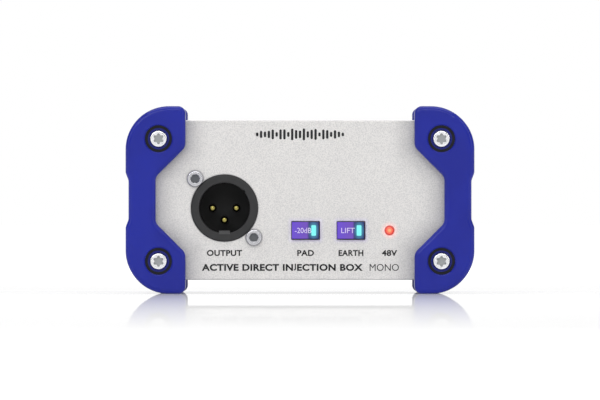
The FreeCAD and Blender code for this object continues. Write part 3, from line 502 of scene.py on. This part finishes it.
cornerFinish = socketSteel("cornerScrewSteel", "front_corner_screws", cornerScrewValues, fromCornerScrew)
wear(cornerFinish, "front_corner_screws", "rear_corner_screws")
wear(socketSteel("hexScrewSteel", "xlr_screws", hexScrewValues, fromHexScrew), "xlr_screws")
wear(plated("nutSteel", paint(214, 214, 210), 0.3), "xlr_nuts")
print("screws finished")

# three pole output connector
socketValues = {"shell": paint(46, 46, 47), "throat": paint(15, 15, 15), "roughness": 0.4, "shine": 0.28,
                "patch": 0.003, "mottle": 0.1, "boreRadius": 0.00822, "mouth": 0.0004, "darkAt": 0.006,
                "key": paint(66, 66, 67), "keyHalf": 0.00176, "keyLow": 0.0084, "keyHigh": 0.0070,
                "soft": 0.00004}
insertValues = {"colour": paint(26, 26, 27), "roughness": 0.5, "shine": 0.22}
pinValues = {"tip": paint(174, 163, 92), "side": paint(22, 21, 14), "from": 0.00035, "to": 0.00078,
             "radius": 0.0012, "drop": 0.00381, "grain": 0.0001, "roughness": 0.25,
             "depth": 0.000003, "strength": 0.4}


def socketShell(values):
    finish = Finish("socketGrey", {"Specular IOR Level": values["shine"]})
    axis = middle("xlr_insert")
    soft, half = values["soft"], values["keyHalf"]
    # painted shade, darker further down the bore
    inside = 1 - finish.step(finish.reach(axis), values["boreRadius"] - soft, values["boreRadius"] + soft)
    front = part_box("xlr_housing")[0].y
    deep = finish.step(finish.y, front + values["mouth"], front + values["darkAt"])
    shade = finish.mottled(values["patch"], darker(values["shell"], values["mottle"]), values["shell"])
    shade = finish.mix(inside * deep, shade, values["throat"])
    # painted highlight: the key tab at the mouth of the bore is painted lighter than the shell
    key = finish.span(finish.x, axis.x - half, axis.x + half, soft)
    key = key * finish.span(finish.z, axis.z - values["keyLow"], axis.z - values["keyHigh"], soft)
    finish.feed("Base Color", finish.mix(key * (1 - deep), shade, values["key"]))
    speck = finish.noise(mouldedValues["grain"])
    finish.gloss(speck, values["roughness"], mouldedValues["swing"])
    finish.bump(speck, mouldedValues["depth"])
    return finish


def pinGold(values):
    # a painted highlight on the rounded tips, and painted shade where the pins go down into the connector
    finish = Finish("pinGold", {"Metallic": 1.0})
    low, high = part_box("xlr_pins")
    radius = values["radius"]
    top = high.z - radius
    away = finish.reach((low.x + radius, 0, top)).least(finish.reach((high.x - radius, 0, top)))
    away = away.least(finish.reach(((low.x + high.x) / 2, 0, top - values["drop"])))
    finish.feed("Base Color", finish.mix(finish.step(away, values["from"], values["to"]),
                                         values["tip"], values["side"]))
    speck = finish.noise(values["grain"])
    finish.gloss(speck, values["roughness"])
    finish.bump(speck, values["depth"], values["strength"])
    return finish


wear(socketShell(socketValues), "xlr_housing")
wear(plastic("insertBlack", insertValues["colour"], insertValues["roughness"], insertValues["shine"]),
     "xlr_insert")
wear(pinGold(pinValues), "xlr_pins")
print("output connector finished")

# lit push buttons
buttonValues = {
    "left": paint(102, 74, 196), "middle": paint(108, 76, 178), "right": paint(52, 60, 112),
    "edge": paint(20, 14, 52), "lens": 0.0018, "lensSoft": 0.0004, "glow": 0.5, "shine": 0.3, "dim": 0.45,
    "teal": paint(70, 150, 176), "tealFrom": 0.0006, "tealTo": 0.002, "tealTall": 0.55, "tealShare": 0.75,
    "grain": 0.0005, "roughness": 0.25, "depth": 0.000006, "strength": 0.4}
rimValues = {"left": 0.00012, "top": 0.00022, "right": 0.0004, "bottom": 0.00034, "sharp": 0.4}
windowValues = {"light": paint(131, 247, 246), "glow": 0.74}


def capRim(finish, low, high, values):
    # 0 in a line of painted shade along the edges of a cap, 1 inside it
    left, right, top, bottom = [values[side] for side in ("left", "right", "top", "bottom")]
    sharp = values["sharp"]
    inner = finish.step(finish.x, low.x, low.x + left)
    inner = inner * (1 - finish.step(finish.x, high.x - right, high.x - right * sharp))
    inner = inner * finish.step(finish.z, low.z + bottom * sharp, low.z + bottom)
    return inner * (1 - finish.step(finish.z, high.z - top, high.z - top * sharp))


def buttonCap(prefix, values):
    low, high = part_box(prefix + "_button_cap")
    window = middle(prefix + "_light_pipe")
    lensEdge, soft = window.x - values["lens"], values["lensSoft"]
    finish = Finish(prefix + "CapViolet", {"Emission Strength": values["glow"],
                                           "Specular IOR Level": values["shine"]})
    # painted glow: the cap is lighter left of its window and darker right of it, with a teal painted glow
    # round the window
    colour = finish.mix(finish.step(finish.x, low.x, lensEdge), values["left"], values["middle"])
    colour = finish.mix(finish.step(finish.x, lensEdge - soft, lensEdge + soft), colour, values["right"])
    away = finish.reach((window.x, 0, window.z), (1, 0, values["tealTall"]))
    halo = 1 - finish.step(away, values["tealFrom"], values["tealTo"])
    colour = finish.mix(halo * values["tealShare"], colour, values["teal"])
    colour = finish.mix(capRim(finish, low, high, rimValues), values["edge"], colour)
    finish.feed("Emission Color", colour)
    finish.feed("Base Color", finish.mix(values["dim"], colour, grey(0.0)))
    speck = finish.noise(values["grain"])
    finish.gloss(speck, values["roughness"])
    finish.bump(speck, values["depth"], values["strength"])
    return finish


for prefix in ("pad", "earth"):
    wear(buttonCap(prefix, buttonValues), prefix + "_button_cap")
windowFinish = glowing("windowCyan", windowValues["light"], windowValues["glow"])
wear(windowFinish, "pad_light_pipe", "earth_light_pipe")
wear(plastic("plungerWhite", paint(226, 225, 218)), "pad_plunger", "earth_plunger")
wear(plastic("switchBlack", paint(33, 33, 35)), "pad_switch_body", "earth_switch_body")
wear(plastic("chipLamp", paint(236, 238, 222), 0.25), "pad_indicator_led", "earth_indicator_led")
tinned = plated("tinnedLead", paint(206, 207, 209), 0.3)
wear(tinned, "pad_switch_terminals", "earth_switch_terminals", "phantom_led_leads", "input_jack_terminals",
     "link_jack_terminals", "transformer_pins", "op_amp_pins")

# phantom power lamp
domeValues = {"core": paint(255, 188, 120), "mid": paint(248, 112, 84), "rim": paint(176, 40, 34),
              "coreStart": 0.0001, "coreEnd": 0.0008, "rimEnd": 0.0014, "glow": 0.9, "roughness": 0.12,
              "coat": 0.4, "resin": paint(150, 32, 22), "resinDark": paint(120, 22, 16), "patch": 0.0007,
              "depth": 0.00001, "strength": 0.3}


def lampDome(values):
    finish = Finish("lampRed", {"Emission Strength": values["glow"], "Roughness": values["roughness"],
                                "Coat Weight": values["coat"]})
    away = finish.reach(middle("phantom_led"))
    inner = finish.step(away, values["coreStart"], values["coreEnd"])
    outer = finish.step(away, values["coreEnd"], values["rimEnd"])
    colour = finish.mix(outer, finish.mix(inner, values["core"], values["mid"]), values["rim"])
    finish.feed("Emission Color", colour)
    cloud = finish.noise(values["patch"])
    finish.feed("Base Color", finish.mix(cloud, values["resinDark"], values["resin"]))
    finish.bump(cloud, values["depth"], values["strength"])
    return finish


wear(lampDome(domeValues), "phantom_led")
wear(plastic("lampHolder", paint(38, 38, 40)), "phantom_led_holder")
print("buttons and lamp finished")

# jack sockets at the input end
jackValues = {"shell": paint(36, 36, 38), "nickel": paint(214, 210, 202), "leaf": paint(196, 142, 84),
              "roughness": 0.42, "shine": 0.4, "threadPitch": 0.00075, "threadDepth": 0.00022,
              "threadSoft": 0.0005, "grainShare": 0.05, "strength": 0.8}


def jackShell(values):
    # a moulded body with a thread on the bush that goes through the panel
    finish = Finish("jackBlack", {"Specular IOR Level": values["shine"]})
    dull = darker(values["shell"], mouldedValues["mottle"])
    finish.feed("Base Color", finish.mottled(mouldedValues["patch"], dull, values["shell"]))
    speck = finish.noise(mouldedValues["grain"])
    finish.gloss(speck, values["roughness"], mouldedValues["swing"])
    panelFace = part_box("input_panel")[1].y
    bush = finish.step(finish.y, panelFace - values["threadSoft"], panelFace)
    ridge = (finish.y * (2 * math.pi / values["threadPitch"])).sine() * bush * 0.5
    finish.bump(ridge + speck * values["grainShare"], values["threadDepth"], values["strength"])
    return finish


wear(jackShell(jackValues), "input_jack_body", "link_jack_body")
wear(brushed("jackNickel", jackValues["nickel"]), "input_jack_washer", "input_jack_nut", "link_jack_washer",
     "link_jack_nut")
wear(brushed("contactBronze", jackValues["leaf"]), "input_jack_tip_spring", "link_jack_tip_spring")

# circuit board: lacquer over copper tracks on woven glass
boardValues = {"lacquer": paint(24, 104, 62), "track": paint(44, 134, 82), "edge": paint(168, 160, 96),
               "cell": 0.0034, "scatter": 0.55, "width": 0.16, "widthFrom": 0.128, "weave": 0.0005,
               "skin": 0.00004, "skinSoft": 0.00003, "shine": 0.5, "roughness": 0.3, "weaveRough": 0.03,
               "trackGloss": 0.05, "weaveHeight": 0.08, "depth": 0.00004, "strength": 0.8}


def boardLacquer(values):
    finish = Finish("boardGreen", {"Specular IOR Level": values["shine"]})
    cells = {"Vector": finish.place, "Scale": 1 / values["cell"], "Randomness": values["scatter"]}
    blocky = {"distance": "CHEBYCHEV", "feature": "F1"}
    inner = finish.add("TexVoronoi", blocky, cells, "Distance")
    outer = finish.add("TexVoronoi", {**blocky, "feature": "F2"}, cells, "Distance")
    track = 1 - finish.step(outer - inner, values["widthFrom"], values["width"])
    flat = finish.mix(track, values["lacquer"], values["track"])
    low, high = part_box("main_board")
    face = finish.span(finish.z, low.z + values["skin"], high.z - values["skin"], values["skinSoft"])
    turns = 2 * math.pi / values["weave"]
    weave = (finish.x * turns).sine() * (finish.y * turns).sine()
    finish.feed("Base Color", finish.mix(face, flat, values["edge"]))
    rough = weave * values["weaveRough"] - track * values["trackGloss"] + values["roughness"]
    finish.feed("Roughness", rough)
    finish.bump(track + weave * values["weaveHeight"], values["depth"], values["strength"])
    return finish


wear(boardLacquer(boardValues), "main_board")

# transformer: laminated core, moulded bobbin and a taped winding
coreValues = {"steel": paint(92, 96, 104), "gap": paint(44, 46, 52), "sheet": 0.00035, "gapFrom": -0.2,
              "gapTo": 0.7, "metallic": 0.9, "grain": 0.0006, "roughness": 0.45, "swing": 0.2,
              "depth": 0.00004, "strength": 0.8}
tapeValues = {"colour": paint(214, 168, 44), "lap": 0.0032, "lapEdge": 0.12, "lapDark": 0.4, "shine": 0.5,
              "grain": 0.0008, "roughness": 0.295, "swing": 0.15, "depth": 0.00006, "strength": 0.7}


def laminated(values):
    finish = Finish("coreLaminated", {"Metallic": values["metallic"]})
    wave = (finish.y * (2 * math.pi / values["sheet"])).sine()
    seam = finish.step(wave, values["gapFrom"], values["gapTo"])
    finish.feed("Base Color", finish.mix(seam, values["gap"], values["steel"]))
    finish.gloss(finish.noise(values["grain"]), values["roughness"], values["swing"])
    finish.bump(seam, values["depth"], values["strength"])
    return finish


def taped(values):
    finish = Finish("windingTape", {"Specular IOR Level": values["shine"]})
    lap = finish.step((finish.z % values["lap"]) / values["lap"], 0.0, values["lapEdge"])
    finish.feed("Base Color", finish.mix(lap, darker(values["colour"], values["lapDark"]), values["colour"]))
    finish.gloss(finish.noise(values["grain"]), values["roughness"], values["swing"])
    finish.bump(lap, values["depth"], values["strength"])
    return finish


wear(laminated(coreValues), "transformer_core")
wear(plastic("bobbinNylon", paint(222, 214, 190), 0.5), "transformer_bobbin")
wear(taped(tapeValues), "transformer_winding")

# small components
wireColour = paint(208, 208, 206)
epoxyColour = paint(30, 30, 32)
canValues = {"sleeve": paint(28, 34, 66), "stripe": paint(196, 200, 208), "top": paint(196, 198, 200),
             "topFrom": 0.00006, "topTo": 0.00002, "topMetal": 0.9, "pitch": 0.005, "stripeFrom": 0.7,
             "stripeTo": 0.74, "shine": 0.5, "grain": 0.0006, "roughness": 0.32, "swing": 0.12,
             "dent": 0.0009, "depth": 0.00002, "strength": 0.4}
resistorValues = {
    "body": paint(118, 176, 196), "mottle": 0.14, "patch": 0.0006,
    "pitch": 0.004, "kinds": 0.37, "kindFrom": 0.45, "kindTo": 0.55,
    "places": (-0.0019, -0.0009, 0.0001, 0.0018), "half": 0.00022, "soft": 0.00003,
    "first": paint(126, 66, 28), "second": paint(24, 22, 24), "third": paint(190, 40, 32),
    "last": paint(206, 168, 64), "wireFrom": 0.00318, "wireTo": 0.00322, "shine": 0.55, "grain": 0.0005,
    "roughness": 0.33}
diodeValues = {"glass": paint(206, 92, 40), "mottle": 0.3, "patch": 0.0007, "band": paint(24, 22, 22),
               "bandFrom": 0.0010, "bandTo": 0.0015, "soft": 0.00003, "wireFrom": 0.00201, "wireTo": 0.00205,
               "shine": 0.6, "grain": 0.0005, "roughness": 0.16, "swing": 0.08}


def canSleeve(name, node, values):
    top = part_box(node)[1].z
    finish = Finish(name, {"Specular IOR Level": values["shine"]})
    crown = finish.step(finish.z, top - values["topFrom"], top - values["topTo"])
    side = (finish.x % values["pitch"]) / values["pitch"]
    side = finish.step(side, values["stripeFrom"], values["stripeTo"])
    sleeve = finish.mix(side, values["sleeve"], values["stripe"])
    finish.feed("Base Color", finish.mix(crown, sleeve, values["top"]))
    finish.feed("Metallic", crown * values["topMetal"])
    finish.gloss(finish.noise(values["grain"]), values["roughness"], values["swing"])
    finish.bump(finish.noise(values["dent"]), values["depth"], values["strength"])
    return finish


def bareWire(finish, node, colour, values):
    # the tinned leads at both ends of a small part that lies along x
    wire = finish.step(abs(finish.x - middle(node).x), values["wireFrom"], values["wireTo"])
    finish.feed("Metallic", wire)
    finish.feed("Base Color", finish.mix(wire, colour, wireColour))


def banded(values):
    # colour rings, which differ from one resistor in the row to the next
    finish = Finish("resistorLacquer", {"Specular IOR Level": values["shine"]})
    centre = middle("resistors").x
    number = (finish.y / values["pitch"] + 0.5).floor()
    kind = finish.step(number * values["kinds"] % 1.0, values["kindFrom"], values["kindTo"])
    chosen = finish.mix(kind, values["first"], values["third"])
    dull = darker(values["body"], values["mottle"])
    colour = finish.mix(finish.noise(values["patch"]), values["body"], dull)
    for place, tint in zip(values["places"], (chosen, values["second"], chosen, values["last"])):
        low, high = centre + place - values["half"], centre + place + values["half"]
        colour = finish.mix(finish.span(finish.x, low, high, values["soft"]), colour, tint)
    bareWire(finish, "resistors", colour, values)
    finish.gloss(finish.noise(values["grain"]), values["roughness"])
    return finish


def glassDiode(values):
    finish = Finish("diodeGlass", {"Specular IOR Level": values["shine"]})
    centre = middle("zener_diodes").x
    ring = finish.span(finish.x, centre + values["bandFrom"], centre + values["bandTo"], values["soft"])
    dull = darker(values["glass"], values["mottle"])
    glass = finish.mix(finish.noise(values["patch"]), values["glass"], dull)
    bareWire(finish, "zener_diodes", finish.mix(ring, glass, values["band"]), values)
    finish.gloss(finish.noise(values["grain"]), values["roughness"], values["swing"])
    return finish


for size in ("large", "small"):
    cans = size + "_electrolytic_capacitors"
    wear(canSleeve(size + "CanSleeve", cans, canValues), cans)
wear(plastic("filmRed", paint(158, 34, 30), 0.25, 0.5), "film_capacitors")
wear(plastic("chipEpoxy", epoxyColour, 0.5, 0.35), "op_amp")
wear(plastic("transistorEpoxy", epoxyColour, 0.55, 0.3), "transistors")
wear(banded(resistorValues), "resistors")
wear(glassDiode(diodeValues), "zener_diodes")
print("inside parts finished")

# return springs, wound round the plungers and pressed together by the caps
springValues = {"colour": paint(196, 196, 200), "wire": 0.00018, "coil": 0.0023, "turns": 5,
                "stepsPerTurn": 24, "wireSides": 10, "endGap": 0.00003, "merge": 0.000001, "smoothAngle": 50,
                "keep": 0.6}


def makeSpring(prefix, finish, values):
    low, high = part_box(prefix + "_return_spring")
    margin = values["wire"] + values["endGap"]
    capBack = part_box(prefix + "_button_cap")[1].y
    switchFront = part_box(prefix + "_switch_body")[0].y
    length = switchFront - capBack - 2 * margin
    bpy.ops.object.select_all(action="DESELECT")
    bpy.ops.mesh.primitive_circle_add(
        vertices=values["wireSides"], radius=values["wire"], location=(values["coil"], 0, 0),
        rotation=(math.radians(90), 0, 0))
    spring = bpy.context.object
    spring.name = prefix + "ReturnCoil"
    bpy.ops.object.transform_apply(location=True, rotation=True, scale=True)
    winding = spring.modifiers.new("winding", "SCREW")
    winding.angle = 2 * math.pi
    winding.screw_offset = length / values["turns"]
    winding.iterations = values["turns"]
    winding.steps = winding.render_steps = values["stepsPerTurn"]
    bpy.ops.object.modifier_apply(modifier="winding")
    bpy.ops.object.mode_set(mode="EDIT")
    bpy.ops.mesh.select_all(action="SELECT")
    bpy.ops.mesh.remove_doubles(threshold=values["merge"])
    bpy.ops.mesh.fill_holes(sides=0)
    bpy.ops.mesh.select_all(action="SELECT")
    bpy.ops.mesh.normals_make_consistent(inside=False)
    bpy.ops.object.mode_set(mode="OBJECT")
    bpy.ops.object.shade_smooth_by_angle(angle=math.radians(values["smoothAngle"]))
    spring.rotation_euler = (math.radians(-90), 0, 0)
    spring.location = ((low.x + high.x) / 2, capBack + margin, (low.z + high.z) / 2)
    bpy.ops.object.transform_apply(location=True, rotation=True, scale=True)
    spring.data.materials.clear()
    spring.data.materials.append(finish.material)
    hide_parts(prefix + "_return_spring")
    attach(spring, "box")
    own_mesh(spring)


springFinish = brushed("springSteel", springValues["colour"])
for prefix in ("pad", "earth"):
    makeSpring(prefix, springFinish, springValues)
print("return springs wound")

# printed lettering
letterValues = {"thickness": 0.00003, "sunk": 0.000008, "raise": 0.01, "curveSteps": 4,
                "tailHang": 0.1, "tailWidth": 0.66, "bold": 0.036, "heavy": 0.042, "light": 0.0}
inkValues = {"ink": paint(36, 36, 38), "roughness": 0.5, "shine": 0.25,
             "capInk": paint(226, 216, 248), "capGlow": 0.62}
inkFinish = plastic("legendInk", inkValues["ink"], inkValues["roughness"], inkValues["shine"])
# print on the caps, with a painted glow
capInkFinish = glowing("capInk", inkValues["capInk"], inkValues["capGlow"])


def corners(thing):
    points = [vertex.co for vertex in thing.data.vertices]
    low = Vector([min(point[i] for point in points) for i in range(3)])
    high = Vector([max(point[i] for point in points) for i in range(3)])
    return low, high


def typeWords(words, weight, tracking):
    bpy.ops.object.select_all(action="DESELECT")
    bpy.ops.object.text_add()
    letters = bpy.context.object
    letters.data.body = words
    letters.data.offset = weight
    letters.data.extrude = letterValues["raise"]
    letters.data.resolution_u = letterValues["curveSteps"]
    letters.data.space_character = tracking
    bpy.ops.object.convert(target="MESH")
    return bpy.context.object


def liftTails(words, capHeight):
    # a letter that hangs below the line is fitted between the line and the top
    bpy.ops.object.mode_set(mode="EDIT")
    bpy.ops.mesh.select_all(action="SELECT")
    bpy.ops.mesh.separate(type="LOOSE")
    bpy.ops.object.mode_set(mode="OBJECT")
    letters = list(bpy.context.selected_objects)
    for letter in letters:
        low, high = corners(letter)
        if low.y < -letterValues["tailHang"] * capHeight:
            for vertex in letter.data.vertices:
                vertex.co.y = (vertex.co.y - low.y) * capHeight / (high.y - low.y)
                vertex.co.x = high.x - (high.x - vertex.co.x) * letterValues["tailWidth"]
    bpy.context.view_layer.objects.active = letters[0]
    bpy.ops.object.join()
    return bpy.context.object


def printWords(name, words, centre, width, capHeight, weight, finish, body="box", turn=0.0, tracking=1.0):
    # the words are scaled to a width and to the height of their capitals
    sample = typeWords("H", weight, 1.0)
    sampleLow, sampleHigh = corners(sample)
    unitHeight = sampleHigh.y - sampleLow.y
    bpy.data.objects.remove(sample)
    letters = liftTails(typeWords(words, weight, tracking), unitHeight)
    letters.name = name
    low, high = corners(letters)
    size = high - low
    letters.location = (-(low.x + high.x) / 2, -unitHeight / 2 - sampleLow.y, -(low.z + high.z) / 2)
    bpy.ops.object.transform_apply(location=True, rotation=False, scale=False)
    letters.scale = (width / size.x, capHeight / unitHeight, letterValues["thickness"] / size.z)
    bpy.ops.object.transform_apply(location=False, rotation=False, scale=True)
    letters.rotation_euler = (math.radians(90), 0, turn)
    letters.location = centre
    bpy.ops.object.transform_apply(location=True, rotation=True, scale=False)
    letters.data.materials.clear()
    letters.data.materials.append(finish.material)
    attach(letters, body)


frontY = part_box("output_panel")[0].y - letterValues["sunk"]
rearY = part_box("input_panel")[1].y + letterValues["sunk"]
rowValues = {"controlZ": midHeight - 0.01705, "titleZ": midHeight - 0.0217, "capHeight": 0.00192,
             "titleHeight": 0.0022, "tracking": 1.07, "rearTracking": 1.04}
controlLegends = {"OUTPUT": ("xlr_insert", 0.01135), "PAD": ("pad_button_cap", 0.0054),
                  "EARTH": ("earth_button_cap", 0.008), "48V": ("phantom_led", 0.00495)}
titleLegends = {"title": ("ACTIVE DIRECT INJECTION BOX", -0.0057, 0.0518, "heavy", rowValues["tracking"]),
                "channel": ("MONO", 0.0271, 0.0094, "light", 1.0)}
capLegends = {"pad": ("-20dB", -0.00081, 0.0053), "earth": ("LIFT", -0.00098, 0.0043)}
capLegendHeight = 0.00165
jackLegends = {"input": ("INPUT", 0.0088), "link": ("LINK", 0.0066)}

for words, (node, width) in controlLegends.items():
    printWords("legend" + words.title(), words, (middle(node).x, frontY, rowValues["controlZ"]), width,
               rowValues["capHeight"], letterValues["bold"], inkFinish, tracking=rowValues["tracking"])
for name, (words, x, width, weight, tracking) in titleLegends.items():
    printWords("legend" + name.title(), words, (x, frontY, rowValues["titleZ"]), width,
               rowValues["titleHeight"], letterValues[weight], inkFinish, tracking=tracking)
for prefix, (words, shift, width) in capLegends.items():
    cap = middle(prefix + "_button_cap")
    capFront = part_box(prefix + "_button_cap")[0].y - letterValues["sunk"]
    printWords(prefix + "Print", words, (cap.x + shift, capFront, cap.z), width, capLegendHeight,
               letterValues["light"], capInkFinish, prefix + "_button")
for prefix, (words, width) in jackLegends.items():
    centre = (middle(prefix + "_jack_body").x, rearY, rowValues["controlZ"])
    printWords(prefix + "Legend", words, centre, width, rowValues["capHeight"], letterValues["bold"],
               inkFinish, turn=math.pi, tracking=rowValues["rearTracking"])
print("lettering printed")

# emblem: a plain sound wave of upright bars
emblemValues = {"width": 0.0288, "height": 0.0039, "up": 0.0211, "bars": 23, "share": 0.62, "least": 0.3,
                "beat": 1.15, "start": 0.4, "round": 0.48, "roundSteps": 4}


def makeBar(place, size, values):
    # an upright bar with round ends
    bpy.ops.object.select_all(action="DESELECT")
    bpy.ops.mesh.primitive_cube_add(size=1, location=place)
    bar = bpy.context.object
    bar.scale = size
    bpy.ops.object.transform_apply(location=True, rotation=True, scale=True)
    bpy.ops.object.mode_set(mode="EDIT")
    bpy.ops.mesh.select_all(action="DESELECT")
    bpy.ops.object.mode_set(mode="OBJECT")
    for edge in bar.data.edges:
        first, second = [bar.data.vertices[i].co for i in edge.vertices]
        edge.select = abs(first.y - second.y) > size[1] / 2
    bpy.ops.object.mode_set(mode="EDIT")
    bpy.ops.mesh.select_mode(type="EDGE")
    bpy.ops.mesh.bevel(offset=size[0] * values["round"], segments=values["roundSteps"])
    bpy.ops.object.mode_set(mode="OBJECT")
    return bar


def makeEmblem(values):
    pitch = values["width"] / values["bars"]
    made = []
    for number in range(values["bars"]):
        along = 2 * number / (values["bars"] - 1) - 1
        swell = abs(math.sin(number * values["beat"] + values["start"])) * math.sqrt(1 - along * along)
        tall = values["height"] * (values["least"] + (1 - values["least"]) * swell)
        place = (along * (values["width"] - pitch) / 2, frontY, midHeight + values["up"])
        made.append(makeBar(place, (pitch * values["share"], letterValues["thickness"], tall), values))
    bpy.ops.object.select_all(action="DESELECT")
    for bar in made:
        bar.select_set(True)
    bpy.context.view_layer.objects.active = made[0]
    bpy.ops.object.join()
    emblem = bpy.context.object
    emblem.name = "emblemWave"
    emblem.data.materials.clear()
    emblem.data.materials.append(inkFinish.material)
    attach(emblem, "box")


makeEmblem(emblemValues)
print("emblem made")
